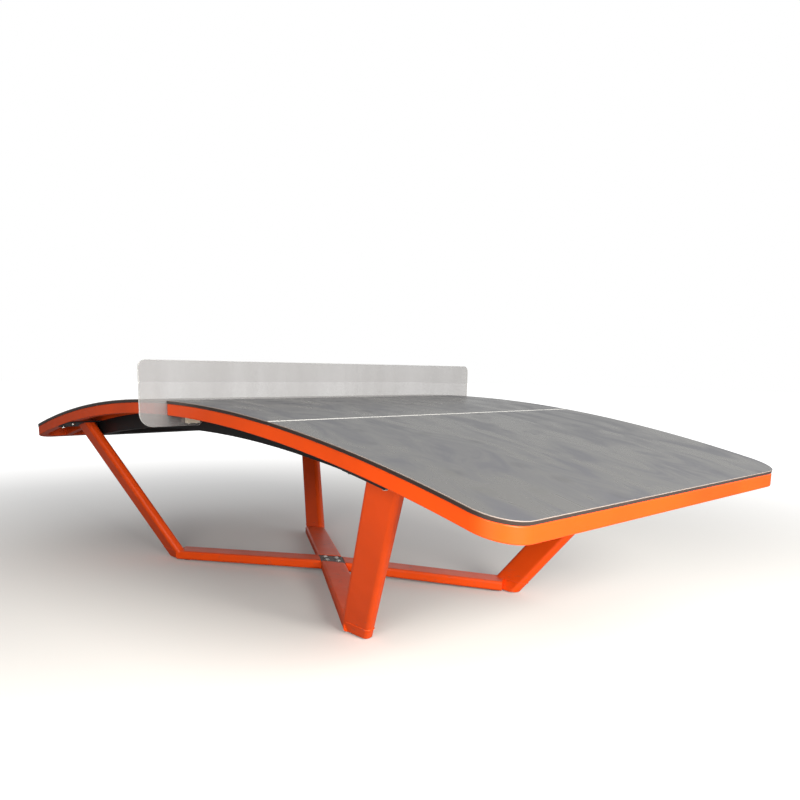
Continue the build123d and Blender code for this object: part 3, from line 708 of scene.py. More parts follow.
def clear_panel(name, colour, alpha_low, alpha_high, roughness):
    """Clear plastic with a wiped haze and fine dust."""
    material, nodes, links = material_tree(name)
    output = nodes.new("ShaderNodeOutputMaterial")
    output.label = "clear panel"
    output.location = (1100, 0)
    shader = nodes.new("ShaderNodeBsdfPrincipled")
    shader.label = "clear plastic"
    shader.location = (800, 0)
    shader.inputs["Base Color"].default_value = (*colour, 1)
    shader.inputs["IOR"].default_value = 1.49
    place = nodes.new("ShaderNodeTexCoord")
    place.label = "place on the panel"
    place.location = (-700, 0)
    streak_map = nodes.new("ShaderNodeMapping")
    streak_map.label = "wiped up and down"
    streak_map.location = (-450, 100)
    streak_map.inputs["Scale"].default_value = (1.0, 5.0, 0.8)
    streak = nodes.new("ShaderNodeTexNoise")
    streak.label = "wiping streaks"
    streak.location = (-200, 100)
    streak.inputs["Scale"].default_value = 2.4
    streak.inputs["Detail"].default_value = 6.0
    haze = nodes.new("ShaderNodeMapRange")
    haze.label = "how clear it is"
    haze.location = (100, 100)
    haze.inputs["From Min"].default_value = 0.3
    haze.inputs["From Max"].default_value = 0.7
    haze.inputs["To Min"].default_value = alpha_low
    haze.inputs["To Max"].default_value = alpha_high
    dust = nodes.new("ShaderNodeTexNoise")
    dust.label = "dust specks"
    dust.location = (-200, -250)
    dust.inputs["Scale"].default_value = 380.0
    dust.inputs["Detail"].default_value = 2.0
    dust_cut = nodes.new("ShaderNodeMapRange")
    dust_cut.label = "only a few specks"
    dust_cut.location = (100, -250)
    dust_cut.inputs["From Min"].default_value = 0.68
    dust_cut.inputs["From Max"].default_value = 0.76
    dust_cut.inputs["To Max"].default_value = 0.18
    cover = nodes.new("ShaderNodeMath")
    cover.label = "haze and specks"
    cover.location = (400, 0)
    cover.operation = "ADD"
    cover.use_clamp = True
    rough = nodes.new("ShaderNodeMapRange")
    rough.label = "gloss of the sheet"
    rough.location = (400, -250)
    rough.inputs["To Min"].default_value = roughness
    rough.inputs["To Max"].default_value = roughness + 0.08
    links.new(place.outputs["Object"], streak_map.inputs["Vector"])
    links.new(streak_map.outputs["Vector"], streak.inputs["Vector"])
    links.new(streak.outputs["Fac"], haze.inputs["Value"])
    links.new(place.outputs["Object"], dust.inputs["Vector"])
    links.new(dust.outputs["Fac"], dust_cut.inputs["Value"])
    links.new(haze.outputs["Result"], cover.inputs[0])
    links.new(dust_cut.outputs["Result"], cover.inputs[1])
    links.new(cover.outputs["Value"], shader.inputs["Alpha"])
    links.new(streak.outputs["Fac"], rough.inputs["Value"])
    links.new(rough.outputs["Result"], shader.inputs["Roughness"])
    links.new(shader.outputs["BSDF"], output.inputs["Surface"])
    effects = {
        "Haze": (streak_map, streak, haze),
        "Dust": (dust, dust_cut),
    }
    for label, members in effects.items():
        box = nodes.new("NodeFrame")
        box.label = label
        for node in members:
            node.parent = box
    return material


def moulded(name, colour, roughness, grain_scale, grain_depth):
    """Moulded plastic or rubber with fine grain and grime."""
    material, nodes, links = material_tree(name)
    output = nodes.new("ShaderNodeOutputMaterial")
    output.label = "moulded piece"
    output.location = (900, 0)
    shader = nodes.new("ShaderNodeBsdfPrincipled")
    shader.label = "moulded surface"
    shader.location = (600, 0)
    place = nodes.new("ShaderNodeTexCoord")
    place.label = "place on the piece"
    place.location = (-600, 0)
    grime = nodes.new("ShaderNodeTexNoise")
    grime.label = "grime"
    grime.location = (-350, 150)
    grime.inputs["Scale"].default_value = 38.0
    grime.inputs["Detail"].default_value = 6.0
    tone = nodes.new("ShaderNodeMix")
    tone.label = "grimy tone"
    tone.location = (-50, 150)
    tone.data_type = "RGBA"
    tone.inputs[6].default_value = (*[c * 0.72 for c in colour], 1)
    tone.inputs[7].default_value = (*[min(c * 1.12, 1) for c in colour], 1)
    rough = nodes.new("ShaderNodeMapRange")
    rough.label = "uneven gloss"
    rough.location = (-50, -100)
    rough.inputs["To Min"].default_value = roughness - 0.06
    rough.inputs["To Max"].default_value = roughness + 0.1
    grain = nodes.new("ShaderNodeTexNoise")
    grain.label = "mould grain"
    grain.location = (-50, -350)
    grain.inputs["Scale"].default_value = grain_scale
    bump = nodes.new("ShaderNodeBump")
    bump.label = "grain relief"
    bump.location = (250, -300)
    bump.inputs["Strength"].default_value = 0.25
    bump.inputs["Distance"].default_value = grain_depth
    links.new(place.outputs["Object"], grime.inputs["Vector"])
    links.new(grime.outputs["Fac"], tone.inputs[0])
    links.new(tone.outputs[2], shader.inputs["Base Color"])
    links.new(grime.outputs["Fac"], rough.inputs["Value"])
    links.new(rough.outputs["Result"], shader.inputs["Roughness"])
    links.new(place.outputs["Object"], grain.inputs["Vector"])
    links.new(grain.outputs["Fac"], bump.inputs["Height"])
    links.new(bump.outputs["Normal"], shader.inputs["Normal"])
    links.new(shader.outputs["BSDF"], output.inputs["Surface"])
    effects = {
        "Grime": (grime, tone, rough),
        "Grain": (grain, bump),
    }
    for label, members in effects.items():
        box = nodes.new("NodeFrame")
        box.label = label
        for node in members:
            node.parent = box
    return material


def zinc_plate(name, colour):
    """Zinc-plated steel with crystalline bloom and dull patches."""
    material, nodes, links = material_tree(name)
    output = nodes.new("ShaderNodeOutputMaterial")
    output.label = "fastener"
    output.location = (900, 0)
    shader = nodes.new("ShaderNodeBsdfPrincipled")
    shader.label = "zinc plate"
    shader.location = (600, 0)
    shader.inputs["Metallic"].default_value = 1.0
    place = nodes.new("ShaderNodeTexCoord")
    place.label = "place on the table"
    place.location = (-600, 0)
    bloom = nodes.new("ShaderNodeTexVoronoi")
    bloom.label = "crystal bloom"
    bloom.location = (-350, 150)
    bloom.inputs["Scale"].default_value = 420.0
    tone = nodes.new("ShaderNodeMix")
    tone.label = "plating tone"
    tone.location = (-50, 150)
    tone.data_type = "RGBA"
    tone.inputs[6].default_value = (*[c * 0.7 for c in colour], 1)
    tone.inputs[7].default_value = (*[min(c * 1.25, 1) for c in colour], 1)
    tarnish = nodes.new("ShaderNodeTexNoise")
    tarnish.label = "dull patches"
    tarnish.location = (-350, -150)
    tarnish.inputs["Scale"].default_value = 85.0
    tarnish.inputs["Detail"].default_value = 4.0
    rough = nodes.new("ShaderNodeMapRange")
    rough.label = "satin to dull"
    rough.location = (-50, -150)
    rough.inputs["To Min"].default_value = 0.24
    rough.inputs["To Max"].default_value = 0.52
    links.new(place.outputs["Object"], bloom.inputs["Vector"])
    links.new(bloom.outputs["Distance"], tone.inputs[0])
    links.new(tone.outputs[2], shader.inputs["Base Color"])
    links.new(place.outputs["Object"], tarnish.inputs["Vector"])
    links.new(tarnish.outputs["Fac"], rough.inputs["Value"])
    links.new(rough.outputs["Result"], shader.inputs["Roughness"])
    links.new(shader.outputs["BSDF"], output.inputs["Surface"])
    effects = {
        "Plating": (bloom, tone),
        "Tarnish": (tarnish, rough),
    }
    for label, members in effects.items():
        box = nodes.new("NodeFrame")
        box.label = label
        for node in members:
            node.parent = box
    return material


def floor_paint(name, colour, bounce):
    """Plain pale studio floor that brightens into the white room away from the table."""
    material, nodes, links = material_tree(name)
    output = nodes.new("ShaderNodeOutputMaterial")
    output.label = "floor"
    output.location = (850, 0)
    shader = nodes.new("ShaderNodeBsdfPrincipled")
    shader.label = "matt floor"
    shader.location = (300, 0)
    shader.inputs["Base Color"].default_value = (*colour, 1)
    shader.inputs["Roughness"].default_value = 0.8
    shader.inputs["Specular IOR Level"].default_value = 0.0
    shader.inputs["Emission Color"].default_value = (1, 1, 1, 1)
    place = nodes.new("ShaderNodeTexCoord")
    place.label = "place on the floor"
    place.location = (-600, 0)
    away = nodes.new("ShaderNodeVectorMath")
    away.label = "distance from the table"
    away.location = (-350, 0)
    away.operation = "LENGTH"
    glow = nodes.new("ShaderNodeMapRange")
    glow.label = "lit like the walls far away"
    glow.location = (-50, 0)
    glow.interpolation_type = "SMOOTHSTEP"
    glow.inputs["From Min"].default_value = 1.2
    glow.inputs["From Max"].default_value = 6.0
    glow.inputs["To Min"].default_value = 0.06
    glow.inputs["To Max"].default_value = 0.9
    links.new(place.outputs["Object"], away.inputs[0])
    links.new(away.outputs["Value"], glow.inputs["Value"])
    links.new(glow.outputs["Result"], shader.inputs["Emission Strength"])

    bounced = nodes.new("ShaderNodeBsdfDiffuse")
    bounced.label = "floor as a source of bounced light"
    bounced.location = (300, -350)
    bounced.inputs["Color"].default_value = (*[c * bounce for c in colour], 1)
    seen = nodes.new("ShaderNodeLightPath")
    seen.label = "looked at or bounced"
    seen.location = (300, 400)
    choose = nodes.new("ShaderNodeMixShader")
    choose.label = "pale floor with a weak bounce"
    choose.location = (620, 0)
    links.new(seen.outputs["Is Camera Ray"], choose.inputs["Fac"])
    links.new(bounced.outputs["BSDF"], choose.inputs[1])
    links.new(shader.outputs["BSDF"], choose.inputs[2])
    links.new(choose.outputs["Shader"], output.inputs["Surface"])
    effects = {
        "Fade into the room": (away, glow),
        "Weak bounce": (bounced, seen, choose),
    }
    for label, members in effects.items():
        box = nodes.new("NodeFrame")
        box.label = label
        for node in members:
            node.parent = box
    return material


def finish(name):
    """Material of the table by name, made the first time it is asked for."""
    found = bpy.data.materials.get(name)
    if found:
        return found
    s = shape()
    c = bpy.context.scene.table_colours
    orange = tuple(c.orange)
    makers = {
        "orange_frame_paint": lambda n: powder_coat(n, orange, [v * 0.80 for v in orange], 0.38, 0.05),
        "orange_leg_paint": lambda n: powder_coat(n, orange, [v * 0.82 for v in orange], 0.40, 0.12),
        "black_beam_paint": lambda n: powder_coat(n, tuple(c.black), [v * 1.7 for v in c.black], 0.42, 0.25),
        "grey_laminate": lambda n: laminate(n, tuple(c.board), tuple(c.marking), s.line_place, s.line_half),
        # Board edge finish, with a painted highlight on its upper arris
        "laminate_core": lambda n: board_core(n, s.apex_height, top_radius()),
        "clear_sheet": lambda n: clear_panel(n, tuple(c.net), 0.48, 0.58, 0.05),
        # Pale, nearly opaque edge colour: a frosted edge with a painted highlight along the panel's rim
        "clear_sheet_edge": lambda n: clear_panel(n, (0.88, 0.90, 0.90), 0.72, 0.88, 0.18),
        "cream_guide": lambda n: moulded(n, tuple(c.guide), 0.48, 900.0, 0.0003),
        "black_rubber": lambda n: moulded(n, tuple(c.rubber), 0.68, 1200.0, 0.0005),
        "zinc_steel": lambda n: zinc_plate(n, tuple(c.steel)),
        "pale_floor": lambda n: floor_paint(n, tuple(c.floor), 0.42),
    }
    return makers[name](name)


# --------------------------------------------------------------------- boards
def board_stations():
    """Distances along one half with the board's half width at each."""
    s = shape()
    straight_end = s.half_length - s.corner_radius
    steps = 30
    corner_steps = 12
    stations = []
    for i in range(steps):
        x = s.slot_half + (straight_end - s.slot_half) * i / steps
        stations.append((x, s.half_width))
    for i in range(corner_steps + 1):
        angle = math.pi / 2 * i / corner_steps
        x = straight_end + s.corner_radius * math.sin(angle)
        stations.append((x, s.half_width - s.corner_radius * (1 - math.cos(angle))))
    return stations


def make_board(name, sign):
    """Curved sheet of one board half, thickened and rounded by its modifiers."""
    columns = 16
    vertices = []
    for x, half_width in board_stations():
        for j in range(columns + 1):
            y = half_width * (2 * j / columns - 1)
            vertices.append((sign * x, y, surface_z(x)))
    faces = []
    rows = len(board_stations()) - 1
    for i in range(rows):
        for j in range(columns):
            a = i * (columns + 1) + j
            b = a + columns + 1
            face = (a, b, b + 1, a + 1)
            faces.append(face if sign > 0 else face[::-1])
    board = new_object(name, vertices, faces, [finish("grey_laminate"), finish("laminate_core")])
    thick = board.modifiers.new("board thickness", "SOLIDIFY")
    thick.thickness = shape().board_thickness
    thick.offset = -1
    thick.use_even_offset = True
    thick.material_offset_rim = 1
    add_bevel(board, shape().board_round, 3)
    return board


class TABLE_OT_boards(bpy.types.Operator):
    """Make both board halves of the playing top"""
    bl_idname = "game_table.boards"
    bl_label = "Boards"

    def execute(self, context):
        for side, sign in SIDES.items():
            board = make_board(f"playing_board_{side}", sign)
            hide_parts(f"board_{side}")
            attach(board, "table")
        return {"FINISHED"}


# ---------------------------------------------------------------- edge rails
def rail_piece(name, path):
    """Box tube along a path of outer and inner plan points, with its long edges rounded."""
    rail = bpy.context.scene.table_rail
    top = shape().board_thickness
    vertices = []
    for outer, inner in path:
        for (x, y), depth in ((outer, top), (outer, rail.bottom_depth),
                              (inner, rail.bottom_depth), (inner, top)):
            vertices.append((x, y, surface_z(x, depth)))
    count = len(path)
    faces = []
    for i in range(count - 1):
        for k in range(4):
            a = 4 * i + k
            b = 4 * i + (k + 1) % 4
            faces.append((a, b, b + 4, a + 4))
    faces.append((3, 2, 1, 0))
    last = 4 * (count - 1)
    faces.append((last, last + 1, last + 2, last + 3))
    piece = new_object(name, vertices, faces, [finish("orange_frame_paint")])
    outward(piece)
    weights = piece.data.attributes.new("bevel_weight_edge", "FLOAT", "EDGE")
    for edge in piece.data.edges:
        a, b = edge.vertices
        weights.data[edge.index].value = 1.0 if abs(a - b) == 4 else 0.0
        edge.use_edge_sharp = max(a, b) < 4 or min(a, b) >= last
    add_bevel(piece, rail.edge_round, 3, "WEIGHT")
    return piece


def outward(piece):
    """Turn a closed mesh's faces round if they point inwards."""
    volume = 0.0
    mesh = piece.data
    for face in mesh.polygons:
        first = mesh.vertices[face.vertices[0]].co
        for i in range(1, len(face.vertices) - 1):
            second = mesh.vertices[face.vertices[i]].co
            third = mesh.vertices[face.vertices[i + 1]].co
            volume += first.dot(second.cross(third))
    if volume < 0:
        mesh.flip_normals()


def side_rail_path(sign_x, sign_y):
    """Straight side rail from the slot to the corner."""
    s = shape()
    rail = bpy.context.scene.table_rail
    outer_y = s.half_width - rail.inset
    steps = 30
    end = s.half_length - s.corner_radius
    path = []
    for i in range(steps + 1):
        x = s.slot_half + (end - s.slot_half) * i / steps
        path.append((plan_direction(sign_x, sign_y, x, outer_y),
                     plan_direction(sign_x, sign_y, x, outer_y - rail.width)))
    return path


def corner_rail_path(sign_x, sign_y):
    """Quarter bend between a side rail and an end rail."""
    s = shape()
    rail = bpy.context.scene.table_rail
    centre = (s.half_length - s.corner_radius, s.half_width - s.corner_radius)
    radius = s.corner_radius - rail.inset
    steps = 14
    outer = arc_points(centre, radius, math.pi / 2, 0, steps)
    inner = arc_points(centre, radius - rail.width, math.pi / 2, 0, steps)
    return [(plan_direction(sign_x, sign_y, *a), plan_direction(sign_x, sign_y, *b))
            for a, b in zip(outer, inner)]


def end_rail_path(sign_x):
    """Straight rail across one end."""
    s = shape()
    rail = bpy.context.scene.table_rail
    reach = s.half_width - s.corner_radius
    outer_x = sign_x * (s.half_length - rail.inset)
    inner_x = sign_x * (s.half_length - rail.inset - rail.width)
    steps = 4
    path = []
    for i in range(steps + 1):
        y = reach * (2 * i / steps - 1)
        path.append(((outer_x, y), (inner_x, y)))
    return path


class TABLE_OT_edge_rails(bpy.types.Operator):
    """Make the painted rails along the sides, round the corners and across the ends"""
    bl_idname = "game_table.edge_rails"
    bl_label = "Edge rails"

    def execute(self, context):
        paths = {}
        for place, signs in PLACES.items():
            paths[f"side_rail_{place}"] = side_rail_path(*signs)
            paths[f"corner_rail_{place}"] = corner_rail_path(*signs)
        for side, sign in SIDES.items():
            paths[f"end_rail_{side}"] = end_rail_path(sign)
        for node, path in paths.items():
            piece = rail_piece(f"{node}_tube", path)
            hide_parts(node)
            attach(piece, "table")
        return {"FINISHED"}


# ------------------------------------------------------------------ net panel
def net_outline():
    """Half outline of the net panel in Y and Z, from the notch's middle to the top's middle."""
    net = bpy.context.scene.table_net
    reach = NET_HIGH.y
    steps = 8
    corner = (reach - net.lobe_radius, NET_LOW.z + net.lobe_radius)
    upper = (reach - net.top_radius, NET_HIGH.z - net.top_radius)
    points = [
        (net.lobe_inner, net.notch_top),
        (net.lobe_inner, NET_LOW.z + net.lobe_chamfer),
        (net.lobe_inner + net.lobe_chamfer, NET_LOW.z),
    ]
    points += arc_points(corner, net.lobe_radius, -math.pi / 2, 0, steps)
    points += arc_points(upper, net.top_radius, 0, math.pi / 2, steps)
    return points


class TABLE_OT_net_panel(bpy.types.Operator):
    """Make the clear net panel with its two lobes and polished edges"""
    bl_idname = "game_table.net_panel"
    bl_label = "Net panel"

    def execute(self, context):
        half = net_outline()
        outline = half + [(-y, z) for y, z in reversed(half)]
        vertices = [(0.0, y, z) for y, z in outline]
        panel = new_object("clear_net_panel", vertices, [tuple(range(len(vertices)))],
                           [finish("clear_sheet"), finish("clear_sheet_edge")])
        thick = panel.modifiers.new("sheet thickness", "SOLIDIFY")
        thick.thickness = NET_HIGH.x - NET_LOW.x
        thick.offset = 0
        # The rim takes the pale edge finish: frosting with a painted highlight
        thick.material_offset_rim = 1
        add_bevel(panel, context.scene.table_net.polish, 2, angle=math.radians(60))
        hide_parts("net_panel")
        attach(panel, "net")
        return {"FINISHED"}


# ------------------------------------------------------------------- fasteners
def islands(node):
    """Lowest and highest corners of each separate solid in a CAD node."""
    mesh = frame["nodes"][node].data
    keys = {}
    parent = []

    def root(i):
        while parent[i] != i:
            i = parent[i]
        return i

    index = []
    for vertex in mesh.vertices:
        key = tuple(round(c, 5) for c in vertex.co)
        if key not in keys:
            keys[key] = len(parent)
            parent.append(len(parent))
        index.append(keys[key])
    for face in mesh.polygons:
        first = root(index[face.vertices[0]])
        for v in face.vertices[1:]:
            parent[root(index[v])] = first
    boxes = {}
    for key, i in keys.items():
        boxes.setdefault(root(i), []).append(Vector(key))
    result = []
    for points in boxes.values():
        low = Vector([min(p[k] for p in points) for k in range(3)])
        high = Vector([max(p[k] for p in points) for k in range(3)])
        result.append((low, high))
    return sorted(result, key=lambda box: tuple(box[0]))


def hex_head_mesh(vertices, faces, centre, radius, low, high, sides=6):
    """Add a closed prism to a mesh that is being collected."""
    start = len(vertices)
    for z in (low, high):
        for i in range(sides):
            angle = 2 * math.pi * i / sides
            vertices.append((centre.x + radius * math.cos(angle), centre.y + radius * math.sin(angle), z))
    for i in range(sides):
        j = (i + 1) % sides
        faces.append((start + i, start + j, start + sides + j, start + sides + i))
    faces.append(tuple(start + i for i in reversed(range(sides))))
    faces.append(tuple(start + sides + i for i in range(sides)))


def bolt_heads(name, node, head_up, head_height, shank_radius):
    """Hexagon heads on washers, with their shanks, for every bolt of a CAD node."""
    detail = bpy.context.scene.table_detail
    washer_sides = 32
    vertices = []
    faces = []
    for low, high in islands(node):
        centre = (low + high) / 2
        radius = (high.x - low.x) / 2
        washer = min(detail.washer_radius, radius * 1.32)
        if head_up:
            seat = high.z - head_height
            base = seat + detail.washer_height
            hex_head_mesh(vertices, faces, centre, radius * 0.98, base, high.z)
            hex_head_mesh(vertices, faces, centre, washer, seat, base, washer_sides)
            hex_head_mesh(vertices, faces, centre, shank_radius, low.z, seat, washer_sides // 2)
        else:
            seat = low.z + head_height
            base = seat - detail.washer_height
            hex_head_mesh(vertices, faces, centre, radius * 0.98, low.z, base)
            hex_head_mesh(vertices, faces, centre, washer, base, seat, washer_sides)
            hex_head_mesh(vertices, faces, centre, shank_radius, seat, high.z, washer_sides // 2)
    piece = new_object(name, vertices, faces, [finish("zinc_steel")])
    add_bevel(piece, detail.head_chamfer, 2, angle=math.radians(35))
    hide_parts(node)
    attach(piece, "table")
    return piece


class TABLE_OT_bolts(bpy.types.Operator):
    """Make the hexagon bolts of the hub, the arms and the leg plates"""
    bl_idname = "game_table.bolts"
    bl_label = "Bolts"

    def execute(self, context):
        head_height = 0.005
        hub_shank = 0.004
        leg_shank = 0.005
        bolt_heads("hub_bolt_set", "hub_bolts", True, head_height, hub_shank)
        bolt_heads("arm_bolt_set", "arm_bolts", False, head_height, hub_shank)
        bolt_heads("leg_bolt_set", "leg_bolts", False, head_height, leg_shank)
        return {"FINISHED"}


# ------------------------------------------------------------------- foot pads
class TABLE_OT_foot_pads(bpy.types.Operator):
    """Turn the four rubber foot pads, each with a groove round its rim"""
    bl_idname = "game_table.foot_pads"
    bl_label = "Foot pads"

    def execute(self, context):
        groove = context.scene.table_detail.pad_groove
        radius = (PAD_HIGH.x - PAD_LOW.x) / 2
        height = PAD_HIGH.z - PAD_LOW.z
        socket = radius / 3
        profile = [
            (0.0, height * 0.40), (socket * 0.98, height * 0.40), (socket, height * 0.98),
            (socket * 1.1, height), (radius * 0.90, height), (radius * 0.955, height * 0.90),
            (radius * 0.97, height * 0.72), (radius - groove, height * 0.62),
            (radius - groove, height * 0.54), (radius * 0.995, height * 0.44),
            (radius, height * 0.18), (radius * 0.985, 0.0), (radius * 0.6, 0.0), (0.0, 0.0),
        ]
        for place in PLACES:
            low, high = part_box(f"foot_pad_{place}")
            middle = (low + high) / 2
            mesh = bpy.data.meshes.new(f"rubber_pad_{place}")
            edges = [(i, i + 1) for i in range(len(profile) - 1)]
            mesh.from_pydata([(r, 0.0, z) for r, z in profile], edges, [])
            mesh.materials.append(finish("black_rubber"))
            pad = bpy.data.objects.new(f"rubber_pad_{place}", mesh)
            context.collection.objects.link(pad)
            turn = pad.modifiers.new("turned", "SCREW")
            turn.steps = 48
            turn.render_steps = 48
            turn.use_merge_vertices = True
            turn.merge_threshold = 0.00005
            turn.use_smooth_shade = True
            apply_stack(pad)
            pad.data.transform(Matrix.Translation((middle.x, middle.y, low.z)))
            outward(pad)
            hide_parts(f"foot_pad_{place}")
            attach(pad, f"foot_{place}")
        return {"FINISHED"}


def apply_stack(obj):
    """Replace an object's mesh by what its modifiers make."""
    bpy.context.view_layer.update()
    graph = bpy.context.evaluated_depsgraph_get()
    mesh = bpy.data.meshes.new_from_object(obj.evaluated_get(graph))
    obj.modifiers.clear()
    obj.data = mesh


# ----------------------------------------------------------------- weld beads
def on_plane(node, point, normal, tolerance):
    """Vertices of a CAD node that lie on a plane."""
    return [v.co.copy() for v in frame["nodes"][node].data.vertices
            if abs((v.co - point).dot(normal)) < tolerance]


def outline_of(points, normal):
    """Convex outline of points on a plane, in order."""
    across = normal.orthogonal().normalized()
    along = normal.cross(across)
    flat = sorted({(round(p.dot(across), 6), round(p.dot(along), 6), i) for i, p in enumerate(points)})

    def half(sequence):
        chain = []
        for q in sequence:
            while len(chain) > 1 and turn_of(chain[-2], chain[-1], q) <= 1e-10:
                chain.pop()
            chain.append(q)
        return chain[:-1]

    hull = half(flat) + half(list(reversed(flat)))
    return [points[i] for _, _, i in hull]


def turn_of(a, b, c):
    """Positive when three plane points turn left."""
    return (b[0] - a[0]) * (c[1] - a[1]) - (b[1] - a[1]) * (c[0] - a[0])


def resample(loop, count):
    """Evenly spaced points along a closed loop."""
    lengths = [(loop[(i + 1) % len(loop)] - p).length for i, p in enumerate(loop)]
    total = sum(lengths)
    result = []
    i = 0
    walked = 0.0
    for k in range(count):
        target = total * k / count
        while walked + lengths[i] < target:
            walked += lengths[i]
            i += 1
        share = (target - walked) / lengths[i]
        result.append(loop[i].lerp(loop[(i + 1) % len(loop)], share))
    return result


def weld_bead(name, loop, radius, seed):
    """Rippled bead along a closed loop, as a curve with its own bevel."""
    source = random.Random(seed)
    count = 150
    ripple_count = 46
    curve = bpy.data.curves.new(name, "CURVE")
    curve.dimensions = "3D"
    curve.bevel_depth = radius
    curve.bevel_resolution = 2
    curve.resolution_u = 2
    spline = curve.splines.new("POLY")
    spline.points.add(count - 1)
    spline.use_cyclic_u = True
    for i, point in enumerate(resample(loop, count)):
        spline.points[i].co = (*point, 1)
        ripple = math.sin(2 * math.pi * ripple_count * i / count)
        spline.points[i].radius = 1 + 0.14 * ripple + source.uniform(-0.08, 0.08)
    curve.materials.append(finish("orange_leg_paint"))
    bead = bpy.data.objects.new(name, curve)
    bpy.context.collection.objects.link(bead)
    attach(bead, "table")
    return bead


def foot_outline(place):
    """Outline of a leg's lower end on the upper face of its arm."""
    sign_x, sign_y = PLACES[place]
    detail = bpy.context.scene.table_detail
    hub = Vector((0, 0, detail.arm_hub_top))
    foot = Vector((sign_x * detail.arm_foot[0], sign_y * detail.arm_foot[1], detail.arm_foot[2]))
    along = (foot - hub).normalized()
    normal = along.cross(Vector((0, 0, 1)).cross(along)).normalized()
    points = on_plane(f"leg_{place}", hub, normal, 0.0004)
    if len(points) < 12:
        raise RuntimeError(f"leg_{place} doesn't stand on its arm")
    return outline_of(points, normal)


def top_outline(place):
    """Outline of a leg's upper end, under its plate."""
    node = f"leg_{place}"
    plate_depth = bpy.context.scene.table_rail.bottom_depth + 0.006
    points = [v.co.copy() for v in frame["nodes"][node].data.vertices
              if abs(v.co.z - surface_z(v.co.x, plate_depth)) < 0.0008]
    if len(points) < 8:
        raise RuntimeError(f"{node} has no upper end under its plate")
    return outline_of(points, Vector((0, 0, 1)))


class TABLE_OT_welds(bpy.types.Operator):
    """Lay the weld beads at the legs' feet and under their plates"""
    bl_idname = "game_table.welds"
    bl_label = "Weld beads"

    def execute(self, context):
        radius = context.scene.table_detail.weld_radius
        for seed, place in enumerate(PLACES):
            weld_bead(f"foot_weld_{place}", foot_outline(place), radius, seed)
            weld_bead(f"plate_weld_{place}", top_outline(place), radius, seed + len(PLACES))
        return {"FINISHED"}


# ---------------------------------------------------------------- CAD finishes
FINISH_BY_SLOT = {
    "board": "grey_laminate",
    "painted_frame": "orange_frame_paint",
    "painted_leg": "orange_leg_paint",
    "black_beam": "black_beam_paint",
    "net_clear": "clear_sheet",
    "guide_block": "cream_guide",
    "foot_pad": "black_rubber",
    "fastener": "zinc_steel",
}


class TABLE_OT_finishes(bpy.types.Operator):
    """Give every CAD piece its finish"""
    bl_idname = "game_table.finishes"
    bl_label = "Finishes"

    def execute(self, context):
        for entry in frame["record"]["subparts"]:
            node = frame["nodes"][entry["node"]]
            material = finish(FINISH_BY_SLOT[entry["material_slot"]])
            for slot in node.material_slots:
                slot.material = material
        return {"FINISHED"}


# ---------------------------------------------------------------------- studio
def area_light(name, place, target, size, power, colour):
    """Soft square light that points at a place."""
    data = bpy.data.lights.new(name, "AREA")
    data.shape = "SQUARE"
    data.size = size
    data.energy = power
    data.color = colour
    light = bpy.data.objects.new(name, data)
    light.location = place
    light.rotation_euler = (Vector(target) - Vector(place)).to_track_quat("-Z", "Y").to_euler()
    bpy.context.collection.objects.link(light)
    return light


def room(strength):
    """White room: plain white to look at, and brighter at the back than in front as light."""
    world = bpy.data.worlds.new("white room")
    world.use_nodes = True
    nodes = world.node_tree.nodes
    links = world.node_tree.links
    nodes.clear()
    output = nodes.new("ShaderNodeOutputWorld")
    output.label = "room"
    output.location = (900, 0)
    walls = nodes.new("ShaderNodeBackground")
    walls.label = "plain white backdrop"
    walls.location = (300, 150)
    walls.inputs["Color"].default_value = (1, 1, 1, 1)
    light = nodes.new("ShaderNodeBackground")
    light.label = "room light"
    light.location = (300, -50)
    light.inputs["Strength"].default_value = strength
    seen = nodes.new("ShaderNodeLightPath")
    seen.label = "seen directly or as light"
    seen.location = (300, 450)
    choose = nodes.new("ShaderNodeMixShader")
    choose.label = "backdrop or light"
    choose.location = (650, 0)
    direction = nodes.new("ShaderNodeTexCoord")
    direction.label = "direction"
    direction.location = (-600, 0)
    split = nodes.new("ShaderNodeSeparateXYZ")
    split.label = "how far back"
    split.location = (-400, 0)
    ramp = nodes.new("ShaderNodeValToRGB")
    ramp.label = "dim front wall, bright back wall"
    ramp.location = (-50, 0)
    ramp.color_ramp.elements[0].position = 0.0
    ramp.color_ramp.elements[0].color = (0.25, 0.25, 0.26, 1)
    ramp.color_ramp.elements[1].position = 1.0
    ramp.color_ramp.elements[1].color = (2.5, 2.5, 2.48, 1)
    spread = nodes.new("ShaderNodeMapRange")
    spread.label = "from front to back"
    spread.location = (-220, 0)
    spread.inputs["From Min"].default_value = -1.0
    links.new(direction.outputs["Generated"], split.inputs["Vector"])
    links.new(split.outputs["Y"], spread.inputs["Value"])
    links.new(spread.outputs["Result"], ramp.inputs["Fac"])
    links.new(ramp.outputs["Color"], light.inputs["Color"])
    links.new(seen.outputs["Is Camera Ray"], choose.inputs["Fac"])
    links.new(light.outputs["Background"], choose.inputs[1])
    links.new(walls.outputs["Background"], choose.inputs[2])
    links.new(choose.outputs["Shader"], output.inputs["Surface"])
    effects = {
        "Room light": (direction, split, spread, ramp, light),
    }
    for label, members in effects.items():
        box = nodes.new("NodeFrame")
        box.label = label
        for node in members:
            node.parent = box
    bpy.context.scene.world = world


def camera_matrix(studio):
    """Place and turn of the camera from its heading, tilt and roll."""
    ahead = Vector((-math.sin(studio.heading), math.cos(studio.heading), 0))
    right = Vector((math.cos(studio.heading), math.sin(studio.heading), 0))
    up = Vector((0, 0, 1))
    view = ahead * math.cos(studio.tilt) + up * math.sin(studio.tilt)
    view_up = up * math.cos(studio.tilt) - ahead * math.sin(studio.tilt)
    right_rolled = right * math.cos(studio.roll) + view_up * math.sin(studio.roll)
    up_rolled = view_up * math.cos(studio.roll) - right * math.sin(studio.roll)
    turned = Matrix((right_rolled, up_rolled, -view)).transposed().to_4x4()
    return Matrix.Translation(studio.eye) @ turned


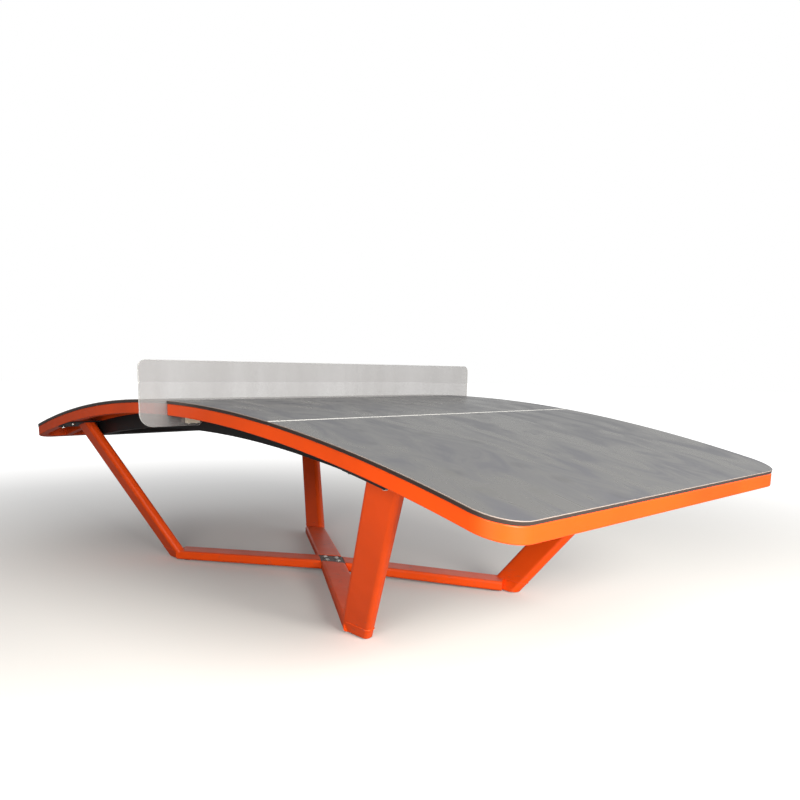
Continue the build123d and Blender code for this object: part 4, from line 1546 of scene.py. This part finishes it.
class TABLE_OT_stage(bpy.types.Operator):
    """Set up the floor, the lights and the camera"""
    bl_idname = "game_table.stage"
    bl_label = "Studio"

    def execute(self, context):
        scene = context.scene
        studio = scene.table_studio
        reach = 40.0
        floor = new_object("studio_floor", [(-reach, -reach, 0), (reach, -reach, 0),
                                            (reach, reach, 0), (-reach, reach, 0)],
                           [(0, 1, 2, 3)], [finish("pale_floor")])
        room(studio.sky)
        area_light("key light", (4.3, -0.7, 1.7), (1.2, 0, 0.5), 1.8, studio.key, (1.0, 0.95, 0.86))
        area_light("front fill", (2.4, -3.1, 1.3), (0.7, 0, 0.3), 1.6, studio.fill, (1.0, 0.94, 0.86))
        data = bpy.data.cameras.new("camera")
        data.lens = studio.lens
        data.shift_x = studio.shift_right
        data.shift_y = studio.shift_up
        data.clip_end = 200
        camera = bpy.data.objects.new("camera", data)
        camera.matrix_world = camera_matrix(studio)
        scene.collection.objects.link(camera)
        scene.camera = camera
        scene.view_settings.view_transform = "Standard"
        return {"FINISHED"}


# ---------------------------------------------------------------------- add-on
SETTINGS = {
    "table_shape": TableShape,
    "table_rail": RailShape,
    "table_net": NetShape,
    "table_detail": DetailShape,
    "table_colours": TableColours,
    "table_studio": StudioSettings,
}
OPERATORS = (
    TABLE_OT_finishes,
    TABLE_OT_boards,
    TABLE_OT_edge_rails,
    TABLE_OT_net_panel,
    TABLE_OT_bolts,
    TABLE_OT_foot_pads,
    TABLE_OT_welds,
    TABLE_OT_stage,
)


class TABLE_PT_panel(bpy.types.Panel):
    """Sidebar panel that lists the settings and the pieces"""
    bl_idname = "TABLE_PT_panel"
    bl_label = "Game Table"
    bl_space_type = "VIEW_3D"
    bl_region_type = "UI"
    bl_category = "Game Table"

    def draw(self, context):
        for operator in OPERATORS:
            self.layout.operator(operator.bl_idname)
        for group in SETTINGS:
            box = self.layout.box()
            settings = getattr(context.scene, group)
            for key in settings.bl_rna.properties.keys():
                if key not in {"rna_type", "name"}:
                    box.prop(settings, key)


def register():
    """Register the settings, the pieces and the panel."""
    for name, group in SETTINGS.items():
        bpy.utils.register_class(group)
        setattr(bpy.types.Scene, name, bpy.props.PointerProperty(type=group))
    for cls in (*OPERATORS, TABLE_PT_panel):
        bpy.utils.register_class(cls)


def unregister():
    """Take everything out again."""
    for cls in (TABLE_PT_panel, *reversed(OPERATORS)):
        bpy.utils.unregister_class(cls)
    for name, group in reversed(SETTINGS.items()):
        delattr(bpy.types.Scene, name)
        bpy.utils.unregister_class(group)


def main():
    """Make every piece in order."""
    register()
    for operator in OPERATORS:
        group, name = operator.bl_idname.split(".")
        getattr(getattr(bpy.ops, group), name)()


if __name__ == "__main__":
    main()
